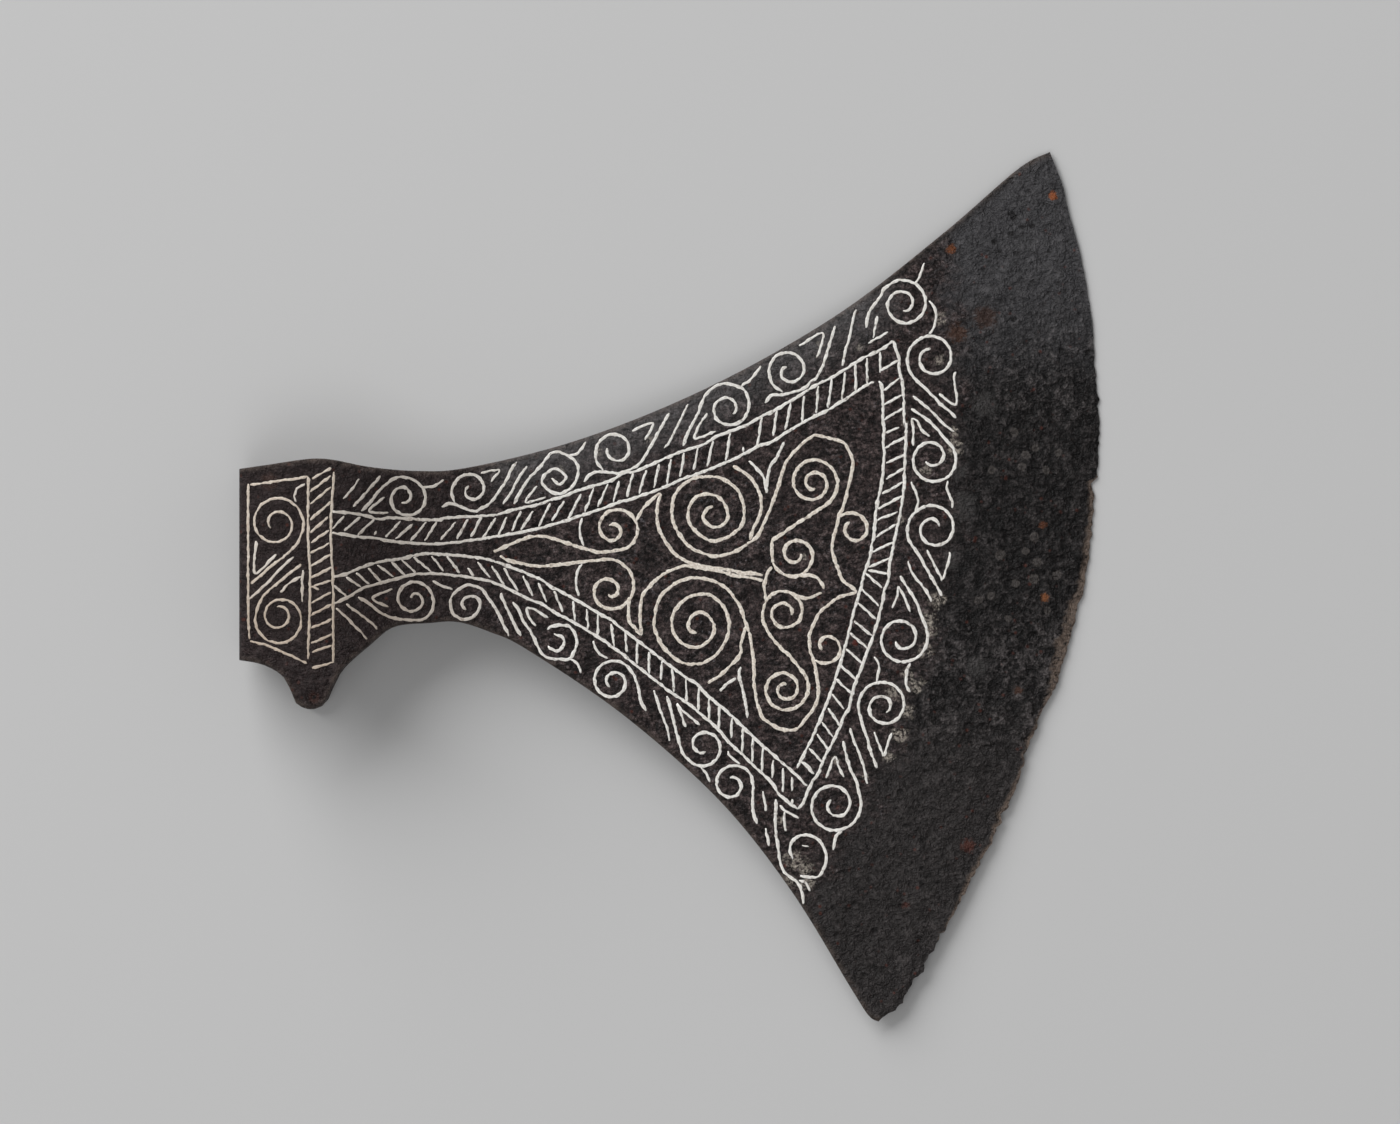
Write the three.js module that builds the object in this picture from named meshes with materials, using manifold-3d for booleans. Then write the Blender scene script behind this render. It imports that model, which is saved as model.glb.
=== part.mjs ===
// A broad axe head of forged iron, thin bladed and flared, with silver wire hammered on to its face.
// It lies on its back, face up, on the crown of its socket and on its cutting edge.
// Until it is laid down, X runs from the butt to the cutting edge, Y up along the haft and Z through
// the thickness, with the middle plane of the blade at Z = 0.
import * as THREE from "three";
import { mergeVertices } from "three/addons/utils/BufferGeometryUtils.js";
import Module from "manifold-3d";

const wasm = await Module();
wasm.setup();

// Driving sizes of the iron, in millimetres.
const HEAD_LENGTH = 214.5;
const BUTT_HEIGHT = 47.8;
const NECK_HEIGHT = 38;
const UPPER_HORN = 103;
const LOWER_HORN = 114;
const BUTT_WIDTH = 22;
const BUTT_ROUNDING = 1.75;
const CHEEK_WALL = 3.5;
const BACK_WALL = 5.5;
const EYE_LENGTH = 26;
const EYE_WIDTH = 21;
const NECK_RUN = 20.3; // past its crown, the socket loses half of its extra thickness over this
const BLADE_THICKNESS = 3.6;
const EDGE_THICKNESS = 0.8;
const BEVEL_WIDTH = 34;
const RIM_CHAMFER = 1;
const EDGE_WEAR = 1.2;

// Chips in the cutting edge: where, as a share of the edge from the lower horn, and how deep and long.
const EDGE_CHIPS = [
  { at: 0.055, deep: 1.2, long: 3.4 },
  { at: 0.105, deep: 1.6, long: 5.2 },
  { at: 0.16, deep: 1.1, long: 3.6 },
  { at: 0.215, deep: 1.7, long: 6.2 },
  { at: 0.275, deep: 1.2, long: 4.1 },
  { at: 0.34, deep: 1.0, long: 3.2 },
  { at: 0.405, deep: 1.5, long: 4.4 },
  { at: 0.62, deep: 0.9, long: 3.0 },
  { at: 0.755, deep: 0.7, long: 2.6 },
];

// Driving sizes of the silver, in millimetres.
const WIRE_WIDTH = 0.9;
const WIRE_THICKNESS = 0.45;
const FIT_GAP = 0.3; // between the underside of a wire and the face of the iron
const BORDER_LIFT = 0.1; // more for a border, which spans the curve of the socket in short flats

const SOCKET_WIDTH = EYE_WIDTH + 2 * CHEEK_WALL;
const CROWN_END = BACK_WALL + 0.65 * EYE_LENGTH; // the socket starts to thin here
const STEP_PX = 14; // the longest straight stretch of a curved wire, in the drawing

// The plan and the silver follow a drawing that is read off the photograph, in its pixels.
// These say where the axe lies in it and what the drawn axe measures, in millimetres.
const PHOTO = { butt: 240, haft: 564.5, pxPerMm: 4 };
const DRAWN = { length: 214.5, butt: 47.8, neck: 38, neckAt: 50, upperHorn: 103, lowerHorn: 114 };
const EDGE_ARC_PX = { x: 194, y: 435, r: 901.5 };
const UPPER_CONTOUR_PX = [
  [240, 469], [268, 465], [310, 459], [334, 460], [370, 467], [418, 471], [466, 468],
  [562, 445], [658, 410], [754, 364], [850, 306], [946, 231], [1018, 169], [1050, 152],
];
const LOWER_CONTOUR_PX = [
  [240, 660], [262, 664], [280, 673], [289, 684], [296, 702], [310, 709], [322, 706], [330, 695],
  [336, 680], [346, 666], [370, 645], [394, 627], [430, 623], [458, 622], [490, 632], [526, 649],
  [622, 714], [718, 799], [790, 889], [850, 987], [868, 1015], [878, 1021],
];

// A point of the drawing, put on the axe. The length and the named heights stretch the drawing.
function place([px, py]) {
  const x = (px - PHOTO.butt) / PHOTO.pxPerMm;
  const y = (PHOTO.haft - py) / PHOTO.pxPerMm;
  const butt = BUTT_HEIGHT / DRAWN.butt;
  const neck = NECK_HEIGHT / DRAWN.neck;
  const horn = y > 0 ? UPPER_HORN / DRAWN.upperHorn : LOWER_HORN / DRAWN.lowerHorn;
  const pastNeck = (x - DRAWN.neckAt) / (DRAWN.length - DRAWN.neckAt);
  const stretch = pastNeck < 0
    ? THREE.MathUtils.lerp(butt, neck, x / DRAWN.neckAt)
    : THREE.MathUtils.lerp(neck, horn, pastNeck);
  return [(x * HEAD_LENGTH) / DRAWN.length, y * stretch];
}

// Half of the iron's thickness at a distance from the butt.
function halfThickness(x) {
  const socket = SOCKET_WIDTH / 2;
  const blade = BLADE_THICKNESS / 2;
  if (x < CROWN_END) return socket - (socket - BUTT_WIDTH / 2) * (1 - x / CROWN_END) ** 2;
  return blade + (socket - blade) / (1 + ((x - CROWN_END) / NECK_RUN) ** 2);
}

function solidFrom(positions, faces) {
  const mesh = new wasm.Mesh({
    numProp: 3,
    vertProperties: new Float32Array(positions),
    triVerts: new Uint32Array(faces),
  });
  return new wasm.Manifold(mesh);
}

// A closed solid through a row of loops, each of which runs along its top and back underneath.
function loft(loops) {
  const n = loops[0].length;
  const last = (loops.length - 1) * n;
  const faces = [];
  for (let row = 0; row < last; row += n) {
    for (let j = 0; j < n; j++) {
      const [a, b] = [row + j, row + ((j + 1) % n)];
      faces.push(a, b + n, b, a, a + n, b + n);
    }
  }
  for (let j = 0, k = n - 1; j + 1 < k; j++, k--) {
    faces.push(j, j + 1, k, last + j, last + k, last + j + 1);
    if (j + 1 < k - 1) faces.push(j + 1, k - 1, k, last + j + 1, last + k, last + k - 1);
  }
  return solidFrom(loops.flat(2), faces);
}

// A three.js geometry, moved into place, as a solid for joining and cutting.
function solidOf(geometry, matrix) {
  const bare = geometry.clone().applyMatrix4(matrix);
  bare.deleteAttribute("normal");
  bare.deleteAttribute("uv");
  const merged = mergeVertices(bare, 1e-4);
  return solidFrom(merged.attributes.position.array, merged.index.array);
}

function joinAll(solids) {
  return solids.reduce((whole, next) => whole.add(next));
}

// The y of a contour at an x of the drawing.
function contour(points) {
  const curve = new THREE.SplineCurve(points.map(([x, y]) => new THREE.Vector2(x, y))).getPoints(400);
  return (x) => {
    const i = Math.max(1, curve.findIndex((p) => p.x >= x - 1e-6));
    const [a, b] = [curve[i - 1], curve[i]];
    return THREE.MathUtils.lerp(a.y, b.y, THREE.MathUtils.clamp((x - a.x) / (b.x - a.x), 0, 1));
  };
}
const upperContour = contour(UPPER_CONTOUR_PX);
const lowerContour = contour(LOWER_CONTOUR_PX);

// A point on an arc that shares its centre with the cutting edge. The angle runs down from the X axis.
function onArc(angle, radius) {
  return [EDGE_ARC_PX.x + radius * Math.cos(angle), EDGE_ARC_PX.y + radius * Math.sin(angle)];
}

function arcAngle([x, y]) {
  return Math.atan2(y - EDGE_ARC_PX.y, x - EDGE_ARC_PX.x);
}

// Where a contour crosses an arc round the centre of the cutting edge.
function crossing(contourAt, radius) {
  let [near, far] = [PHOTO.butt, EDGE_ARC_PX.x + radius];
  for (let i = 0; i < 40; i++) {
    const x = (near + far) / 2;
    const past = Math.hypot(x - EDGE_ARC_PX.x, contourAt(x) - EDGE_ARC_PX.y) > radius;
    if (past) far = x;
    else near = x;
  }
  return near;
}

const bevelRadius = EDGE_ARC_PX.r - BEVEL_WIDTH * PHOTO.pxPerMm;
const bevelStart = {
  lower: crossing(lowerContour, bevelRadius),
  upper: crossing(upperContour, bevelRadius),
};
const tips = { lower: LOWER_CONTOUR_PX.at(-1), upper: UPPER_CONTOUR_PX.at(-1) };

// The angle and radius of the bevel's start, and of the worn edge, at a share of the way up.
function bevelPoint(up) {
  const from = arcAngle([bevelStart.lower, lowerContour(bevelStart.lower)]);
  const to = arcAngle([bevelStart.upper, upperContour(bevelStart.upper)]);
  return onArc(THREE.MathUtils.lerp(from, to, up), bevelRadius);
}

function edgePoint(up) {
  const worn = EDGE_WEAR * (1 - THREE.MathUtils.smoothstep(up, 0.42, 0.52));
  const inward = worn * THREE.MathUtils.smoothstep(up, 0, 0.06) * PHOTO.pxPerMm;
  const angle = THREE.MathUtils.lerp(arcAngle(tips.lower), arcAngle(tips.upper), up);
  return onArc(angle, EDGE_ARC_PX.r - inward);
}

// How far a row of the blade bulges past the straight line between its ends on the two contours.
function bulge(point, lower, upper, up) {
  return [
    point[0] - THREE.MathUtils.lerp(lower[0], upper[0], up),
    point[1] - THREE.MathUtils.lerp(lower[1], upper[1], up),
  ];
}

// A point of the drawing from a station and a share of the way up. Stations run from 0 at the butt
// to 1 at the start of the bevel and to 2 at the edge; the rows fan out as they near the bevel.
function planPoint(station, up) {
  const flat = Math.min(station, 1);
  const onBevel = Math.max(station - 1, 0);
  const middle = EDGE_ARC_PX.x + bevelRadius;
  const spread = (end, tip) => {
    const fan = (end - middle) * flat ** 2;
    const x = THREE.MathUtils.lerp(PHOTO.butt, middle, flat) + fan;
    return THREE.MathUtils.lerp(x, tip, onBevel);
  };
  const xLower = spread(bevelStart.lower, tips.lower[0]);
  const xUpper = spread(bevelStart.upper, tips.upper[0]);
  const lower = [xLower, lowerContour(xLower)];
  const upper = [xUpper, upperContour(xUpper)];
  const bevelBulge = bulge(bevelPoint(up), bevelPoint(0), bevelPoint(1), up);
  const edgeBulge = bulge(edgePoint(up), edgePoint(0), edgePoint(1), up);
  return [0, 1].map((axis) => {
    const straight = THREE.MathUtils.lerp(lower[axis], upper[axis], up);
    return straight + flat ** 2 * THREE.MathUtils.lerp(bevelBulge[axis], edgeBulge[axis], onBevel);
  });
}

// The stations: close together over the socket, wider down the blade, and three over the bevel.
function stations() {
  const socketEnd = 0.18;
  const list = [0, (BUTT_ROUNDING * PHOTO.pxPerMm) / (EDGE_ARC_PX.x + bevelRadius - PHOTO.butt)];
  for (let i = 1; i <= 11; i++) list.push(THREE.MathUtils.lerp(0, socketEnd, i / 11));
  for (let i = 1; i <= 16; i++) list.push(THREE.MathUtils.lerp(socketEnd, 1, (i / 16) ** 1.3));
  return [...list, 1.35, 1.7, 2];
}

// One section of the iron across the blade: up its face, over the rim and back down its underside.
function section(station) {
  const rows = 10;
  const [low, high] = [place(planPoint(station, 0)), place(planPoint(station, 1))];
  const inset = RIM_CHAMFER / Math.hypot(high[0] - low[0], high[1] - low[1]);
  const ups = [0, inset];
  for (let j = 1; j < rows; j++) ups.push(j / rows);
  ups.push(1 - inset, 1);
  const onBevel = Math.max(station - 1, 0);
  const face = ups.map((up, j) => {
    const [x, y] = place(planPoint(station, up));
    const flat = halfThickness(x) - (station === 0 ? BUTT_ROUNDING : 0);
    const half = THREE.MathUtils.lerp(flat, EDGE_THICKNESS / 2, onBevel);
    const onRim = j === 0 || j === ups.length - 1;
    return [x, y, onRim ? half - Math.min(RIM_CHAMFER, half / 2) : half];
  });
  return [...face, ...face.map(([x, y, z]) => [x, y, -z]).reverse()];
}

// The haft's eye: flat at the back, rounded towards the blade, and right through the socket.
function eye() {
  const [back, half, flat] = [BACK_WALL, EYE_WIDTH / 2, EYE_WIDTH * 0.28];
  const widest = back + EYE_LENGTH * 0.42;
  const front = back + EYE_LENGTH;
  const shape = new THREE.Shape();
  shape.moveTo(back, -flat);
  shape.bezierCurveTo(back + 1, -half * 0.9, widest - EYE_LENGTH * 0.2, -half, widest, -half);
  shape.bezierCurveTo(widest + EYE_LENGTH * 0.3, -half, front, -half * 0.55, front, 0);
  shape.bezierCurveTo(front, half * 0.55, widest + EYE_LENGTH * 0.3, half, widest, half);
  shape.bezierCurveTo(widest - EYE_LENGTH * 0.2, half, back + 1, half * 0.9, back, flat);
  const depth = 4 * BUTT_HEIGHT;
  const prism = new THREE.ExtrudeGeometry(shape, { depth, curveSegments: 6, bevelEnabled: false });
  const upright = new THREE.Matrix4().makeRotationX(Math.PI / 2);
  return solidOf(prism, upright.premultiply(new THREE.Matrix4().makeTranslation(0, depth / 2, 0)));
}

// A wedge out of the cutting edge.
function chip({ at, deep, long }) {
  const [x, y] = place(edgePoint(at));
  const [inX, inY] = place(bevelPoint(at));
  const wedge = new THREE.Shape([
    new THREE.Vector2(-deep, -long * 0.12),
    new THREE.Vector2(2, -long * 0.9),
    new THREE.Vector2(2, long * 0.7),
    new THREE.Vector2(-deep * 0.7, long * 0.2),
  ]);
  const depth = 4 * BLADE_THICKNESS;
  const prism = new THREE.ExtrudeGeometry(wedge, { depth, bevelEnabled: false });
  const turn = new THREE.Matrix4().makeRotationZ(Math.atan2(y - inY, x - inX));
  return solidOf(prism, turn.premultiply(new THREE.Matrix4().makeTranslation(x, y, -depth / 2)));
}

// A curl of the drawing, from the outside in: its centre, its radii, where it starts and how far it
// turns, in degrees clockwise, and how far its centre drifts on the way.
function curl(x, y, outer, inner, from, sweep, driftX = 0, driftY = 0) {
  const steps = Math.round(Math.abs(sweep) / 38);
  return Array.from({ length: steps + 1 }, (_, i) => {
    const t = i / steps;
    const angle = THREE.MathUtils.degToRad(from + sweep * t);
    const radius = THREE.MathUtils.lerp(outer, inner, t);
    return [x + driftX * t + radius * Math.cos(angle), y + driftY * t + radius * Math.sin(angle)];
  });
}

function curveThrough(points) {
  return new THREE.SplineCurve(points.map(([x, y]) => new THREE.Vector2(x, y)));
}

// A wire's route on the axe: a smooth curve through the drawing's points, in short straight steps.
function route(points) {
  const curve = curveThrough(points);
  const along = [];
  points.slice(1).forEach(([x, y], i) => {
    const pieces = Math.max(1, Math.round(Math.hypot(x - points[i][0], y - points[i][1]) / STEP_PX));
    for (let k = 0; k < pieces; k++) along.push(curve.getPoint((i + k / pieces) / (points.length - 1)));
  });
  along.push(curve.getPoint(1));
  return along.map((p) => place([p.x, p.y]));
}

// A wire along a route: flat underneath, where it lies on the face, and crowned on top.
function wire(points) {
  const path = route(points);
  const half = WIRE_WIDTH / 2;
  const loops = path.map(([x, y], i) => {
    const [ax, ay] = path[Math.max(i - 1, 0)];
    const [bx, by] = path[Math.min(i + 1, path.length - 1)];
    const length = Math.hypot(bx - ax, by - ay);
    const [sideX, sideY] = [((ay - by) * half) / length, ((bx - ax) * half) / length];
    return [
      [x - sideX, y - sideY, halfThickness(x - sideX) + FIT_GAP],
      [x, y, halfThickness(x) + FIT_GAP + WIRE_THICKNESS],
      [x + sideX, y + sideY, halfThickness(x + sideX) + FIT_GAP],
    ];
  });
  return loft(loops);
}

// A twisted border: two rails with slanting rungs between them, made in one piece with its ends.
// The lean says how much further along the second rail a rung ends, as a share of the rail.
function ladder(railA, railB, rungs, leanStart, leanEnd) {
  const [curveA, curveB] = [curveThrough(railA), curveThrough(railB)];
  const at = (curve, t) => new THREE.Vector2(...place(curve.getPointAt(t).toArray()));
  const bars = [];
  for (let k = 0; k <= rungs; k++) {
    const t = k / rungs;
    const lean = THREE.MathUtils.lerp(leanStart, leanEnd, t) * Math.min(1, 5 * t, 5 - 5 * t);
    const [tA, tB] = [t, THREE.MathUtils.clamp(t + lean, 0, 1)];
    const [a, b] = [at(curveA, tA), at(curveB, tB)];
    const across = b.clone().sub(a).normalize();
    const along = [curveA, curveB].map((curve, side) => {
      const middle = [tA, tB][side];
      const [from, to] = [Math.max(middle - 0.01, 0), Math.min(middle + 0.01, 1)];
      return at(curve, to).sub(at(curve, from)).normalize();
    });
    const reach = along.map((rail) => WIRE_WIDTH / 2 / Math.abs(rail.cross(across)));
    bars.push({ ends: [a, b], across, along, reach });
  }
  // A corner beside a bar's end: inside or outside its rail, and before or past the bar.
  const corner = ({ ends, across, along, reach }, side, inward, onward) => ends[side].clone()
    .addScaledVector(across, (side === 0 ? inward : -inward) * reach[side])
    .addScaledVector(along[side], onward * reach[side]);
  const first = bars[0];
  const last = bars.at(-1);
  const between = bars.filter((_, k) => k > 0 && k < rungs && (k < 6 || k % 3 === 0));
  const [sideA, sideB] = [0, 1].map((side) => between.map((bar) => corner(bar, side, -1, 0)));
  const outline = [
    corner(first, 0, -1, -1), ...sideA, corner(last, 0, -1, 1),
    corner(last, 1, -1, 1), ...sideB.reverse(), corner(first, 1, -1, -1),
  ];
  if (THREE.ShapeUtils.isClockWise(outline)) outline.reverse();
  const shape = new THREE.Shape(outline);
  for (let k = 0; k < rungs; k++) {
    const [before, after] = [bars[k], bars[k + 1]];
    shape.holes.push(new THREE.Path([
      corner(before, 0, 1, 1), corner(after, 0, 1, -1), corner(after, 1, 1, -1), corner(before, 1, 1, 1),
    ]));
  }
  const flat = new THREE.ExtrudeGeometry(shape, { depth: WIRE_THICKNESS, bevelEnabled: false });
  const position = flat.getAttribute("position");
  for (let i = 0; i < position.count; i++) {
    const face = halfThickness(position.getX(i));
    position.setZ(i, position.getZ(i) + face + FIT_GAP + BORDER_LIFT);
  }
  return solidOf(flat, new THREE.Matrix4());
}

// The border along the socket's end, with the thin frame that closes the field of the socket.
function socketBorder() {
  const inner = [[309, 479], [309, 533], [311, 585], [309, 660]];
  const outer = [[335, 474], [332, 530], [333, 585], [334, 660]];
  const frame = [
    [309, 479], [280, 481], [252, 485], [250, 530], [249, 584], [252, 640], [286, 654], [309, 660],
  ];
  return joinAll([ladder(inner, outer, 14, -0.07, -0.05), wire(frame)]);
}

function upperBorder() {
  const upper = [
    [340, 512], [436, 520], [500, 514], [562, 497], [658, 462], [747, 425], [800, 395], [848, 367],
    [884, 348],
  ];
  const lower = [
    [340, 534], [436, 544], [500, 536], [564, 521], [651, 492], [729, 461], [800, 424], [844, 400],
    [870, 385],
  ];
  return ladder(upper, lower, 39, -0.025, 0.005);
}

function lowerBorder() {
  const inner = [
    [341, 575], [379, 562], [428, 554], [480, 558], [527, 574], [578, 601], [636, 639], [698, 685],
    [752, 736], [788, 768],
  ];
  const outer = [
    [341, 600], [373, 585], [424, 574], [471, 578], [519, 594], [571, 621], [638, 667], [702, 716],
    [752, 764], [781, 796],
  ];
  return ladder(inner, outer, 34, 0.025, 0);
}

function sideBorder() {
  const outer = [
    [897, 354], [900, 375], [904, 411], [905, 460], [900, 514], [890, 562], [879, 611], [863, 664],
    [849, 707], [828, 752], [806, 793],
  ];
  const inner = [
    [881, 396], [883, 420], [883, 468], [876, 511], [869, 559], [861, 588], [849, 632], [833, 684],
    [814, 733], [797, 768],
  ];
  return ladder(outer, inner, 27, 0.012, 0.012);
}

// The plant that grows from the neck: two stems with their curls, which join at a collar and open
// into the four scrolls of the middle.
const STEM_SCROLLS = [
  [[487, 553], [514, 543], [537, 537], [567, 543], [593, 551], ...curl(616, 531, 21, 5, 94, -540, -7, 3)],
  [[488, 547], [513, 558], [540, 565], [580, 562], ...curl(610, 587, 29, 5, -112, 560, 0, 6)],
  [[634, 524], [646, 509], [659, 497]],
  [[653, 500], [661, 527], [676, 553], [711, 565], [742, 570], [764, 575], [775, 576]],
  [[629, 595], [629, 613], [644, 631]],
  [[635, 631], [644, 605], [658, 582], [688, 574], [718, 578], [760, 587], [771, 589]],
  [[768, 600], [763, 588], [766, 574], [777, 558]],
  [[769, 571], [770, 553], [774, 540], [804, 519], ...curl(812, 482, 27, 5, 60, -690, 2, 3)],
  curl(795, 556, 23, 5, 162, -519, 1, -2),
  [[768, 594], [762, 612], [766, 628], [781, 648], [795, 660], ...curl(784, 689, 25, 5, -51, 680, 1, 0)],
  curl(785, 610, 21, 8, -157, 522, -1, 4),
  [[799, 576], [817, 578], [829, 592]],
  [[829, 587], [808, 598], [794, 594]],
];

// The heart-shaped wire round the plant: a large spiral at each of its ends, and two small curls.
const HEART_SCROLL = [
  [
    ...curl(712, 513, 45, 5, 41, 951, 0, -1).reverse(),
    [760, 532], [771, 506], [781, 477], [795, 450], [819, 435.5], [840, 441], [852, 464], [845, 497],
    [833, 540], [836, 567], [850, 586], [853, 593], [842, 597], [820, 612], [809, 638], [816, 676],
    [818, 697], [804, 721], [787, 730], [764, 719], [755, 690], [753, 657],
    ...curl(696, 624, 51, 5, 9, -973, 2, 4),
  ],
  [[733, 466], [751, 478], [761, 504], [751, 538]],
  [[708, 683], [732, 664], [741, 646], [746, 626]],
  [[839, 514], ...curl(849, 532, 17, 5, -115, 349, 1, -6)],
  [[815, 662], ...curl(827, 648, 17, 7, 122, -335, 1, -2)],
];

// The small scrolls outside the borders, numbered from the socket or from the upper horn.
const SMALL_SCROLLS = {
  socket_upper: [[[253, 583], [278, 562], [296, 546], ...curl(276, 523, 28, 8, 2, -572, 2, 1)]],
  socket_lower: [[[302, 564], [271, 589], [261, 601], ...curl(282, 621, 27, 6, -152, -675, -3, -8)]],
  leaf_upper: [[[784, 442], [770, 465], [767, 493]], [[749, 461], [762, 477], [767, 493]]],
  leaf_lower: [[[740, 668], [741, 687], [747, 718]], [[720, 691], [731, 682], [739, 677]]],
  upper_1: [[[362, 511], [378, 493], [396, 478], [412, 479], ...curl(408, 500, 20, 6, -51, 497, -6, -3)]],
  upper_2: [
    [[442, 507], [462, 508], [480, 509], [491, 502], [506, 481], [517, 462]],
    [[463, 508], ...curl(471, 491, 20, 5, 142, 443, 1, -1)],
  ],
  upper_3: [[[514, 504], [528, 480], ...curl(561, 473, 21, 5, -115, 585, -5, 4)]],
  upper_4: [
    [[584, 478], [597, 469], [620, 467], [639, 458], [655, 435], [669, 413]],
    curl(615, 453, 21, 8, 123, 418, 0, -4),
  ],
  upper_5: [[[683, 446], [698, 413], [707, 393], [729, 384], ...curl(728, 406, 23, 6, -49, 452, 1, 4)]],
  upper_6: [
    [[765, 403], [782, 395], [800, 390], [820, 371], [830, 342], [835, 326]],
    curl(790, 370, 24, 5, 108, 503, -2, 2),
  ],
  upper_7: [[[866, 328], [870, 311], [884, 289], ...curl(904, 305, 24, 7, -90, 535, -2, -1)]],
  edge_1: [[[956, 418], [936, 399], [922, 387], ...curl(933, 358, 27, 9, 128, 497, -1, 0)]],
  edge_2: [[[914, 411], [931, 423], [944, 438], ...curl(932, 462, 25, 9, -41, 527, -1, -7)]],
  edge_3: [[[942, 596], [924, 567], [911, 544], ...curl(934, 529, 27, 7, 163, 538, -1, 0)]],
  edge_4: [
    [[900, 575], [911, 593], [922, 617], ...curl(901, 638, 28, 8, -32, 545, 2, 0)],
    [[910, 662], [905, 680], [910, 692]],
  ],
  edge_5: [[[877, 768], [870, 750], [863, 728], ...curl(885, 705, 27, 6, 151, 621, -2, 3)]],
  edge_6: [
    [[843, 741], [848, 762], [857, 782], ...curl(832, 805, 30, 7, -28, 608, 4, -1)],
    [[842, 831], [835, 836], [833, 850]],
  ],
  lower_1: [[[359, 597], [380, 612], [400, 619], ...curl(413, 600, 22, 5, 34, -520, 2, -2)]],
  lower_2: [[[509, 636], [497, 611], [482, 589], ...curl(467, 602, 17, 6, -87, -503, 3, 2)]],
  lower_3: [[[513, 602], [523, 621], [536, 642], ...curl(561, 642, 19, 8, 124, -564, -4, 0)]],
  lower_4: [[[646, 711], [638, 686], ...curl(612, 681, 21, 6, -54, -535, 2, 1)]],
  lower_5: [[[667, 696], [677, 734], ...curl(704, 748, 20, 8, 147, -433, -1, -4)]],
  lower_6: [[[757, 824], [753, 797], ...curl(733, 783, 20, 7, -35, -420, -2, 1)]],
  lower_7: [
    [[776, 803], [776, 833], [783, 870], [801, 890], [803, 904]],
    [[792, 858], [791, 845], [799, 836], [814, 838], [824, 852], [825, 865], [816, 877], [795, 881]],
  ],
};

function ironHead() {
  return loft(stations().map(section)).subtract(joinAll([eye(), ...EDGE_CHIPS.map(chip)]));
}

function meshFrom(name, solid, material) {
  const { vertProperties, triVerts } = solid.getMesh();
  const geometry = new THREE.BufferGeometry();
  geometry.setAttribute("position", new THREE.BufferAttribute(vertProperties, 3));
  geometry.setIndex(new THREE.BufferAttribute(triVerts, 1));
  geometry.computeVertexNormals();
  const mesh = new THREE.Mesh(geometry, material);
  mesh.name = name;
  return mesh;
}

const iron = new THREE.MeshStandardMaterial({ color: 0x3a3434, roughness: 0.55, metalness: 0.85 });
const silver = new THREE.MeshStandardMaterial({ color: 0xe4ddd2, roughness: 0.35, metalness: 1 });

const head = new THREE.Group();
head.add(meshFrom("axe_head", ironHead(), iron));
const silverPieces = {
  silver_border_socket: socketBorder(),
  silver_border_upper: upperBorder(),
  silver_border_lower: lowerBorder(),
  silver_border_side: sideBorder(),
  silver_stem_scrolls: joinAll(STEM_SCROLLS.map(wire)),
  silver_heart_scroll: joinAll(HEART_SCROLL.map(wire)),
};
for (const [name, wires] of Object.entries(SMALL_SCROLLS)) {
  silverPieces[`silver_scroll_${name}`] = joinAll(wires.map(wire));
}
for (const [name, solid] of Object.entries(silverPieces)) head.add(meshFrom(name, solid, silver));

// The tilt at which the head rests on the crown of its socket and on its cutting edge.
function lyingTilt() {
  const reach = place([EDGE_ARC_PX.x + EDGE_ARC_PX.r, EDGE_ARC_PX.y])[0];
  let steepest = 0;
  for (let x = 0; x < CROWN_END + NECK_RUN; x += 0.5) {
    steepest = Math.max(steepest, (halfThickness(x) - EDGE_THICKNESS / 2) / (reach - x));
  }
  return Math.atan(steepest);
}
head.rotation.y = lyingTilt();

// The origin is on the floor, under the middle of the head.
const part = new THREE.Group();
part.add(head);
part.updateMatrixWorld(true);
const box = new THREE.Box3().setFromObject(head, true);
const middle = box.getCenter(new THREE.Vector3());
head.position.set(-middle.x, -middle.y, -box.min.z);

export default part;
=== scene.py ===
# %% [markdown]
# # A broad axe head of forged iron, with silver wire hammered into its face
# The real head is one forging: a socket with an eye for the haft, a narrow neck, and a thin blade that
# flares to a long curved edge. It lies on its plain side, so the decorated face looks up.
# Two things are made here: the iron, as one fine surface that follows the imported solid's own sizes, and
# the silver, as about 240 short wires that follow a drawing. Everything stands in metres, in the frame
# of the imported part.

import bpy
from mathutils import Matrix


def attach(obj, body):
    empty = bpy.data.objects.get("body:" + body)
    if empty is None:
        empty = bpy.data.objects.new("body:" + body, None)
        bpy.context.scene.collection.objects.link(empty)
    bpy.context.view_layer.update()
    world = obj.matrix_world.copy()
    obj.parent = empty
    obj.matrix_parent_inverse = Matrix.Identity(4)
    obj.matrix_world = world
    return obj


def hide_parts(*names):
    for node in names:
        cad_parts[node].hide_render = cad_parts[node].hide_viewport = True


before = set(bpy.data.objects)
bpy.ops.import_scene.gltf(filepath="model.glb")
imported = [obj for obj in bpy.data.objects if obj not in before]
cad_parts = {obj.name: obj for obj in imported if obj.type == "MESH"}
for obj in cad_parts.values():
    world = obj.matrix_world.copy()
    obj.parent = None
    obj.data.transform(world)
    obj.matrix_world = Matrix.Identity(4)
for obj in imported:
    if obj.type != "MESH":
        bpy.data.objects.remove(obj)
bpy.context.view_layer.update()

# %% Tools from Blender and Python
from math import atan, cos, pi, radians, sin

import bmesh
import bpy
import numpy as np
from mathutils import Matrix, Vector, kdtree, noise

# %% [markdown]
# ## Sizes
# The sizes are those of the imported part, in millimetres. The plan of the head and the silver follow a
# drawing that was read off the photograph, in its pixels, at four pixels to the millimetre. A short
# helper turns a place in that drawing into millimetres on the axe: X runs from the butt to the cutting
# edge, Y along the haft and Z through the thickness, with the middle of the blade at Z = 0.

# %% The iron's sizes
MM = 0.001
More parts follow.
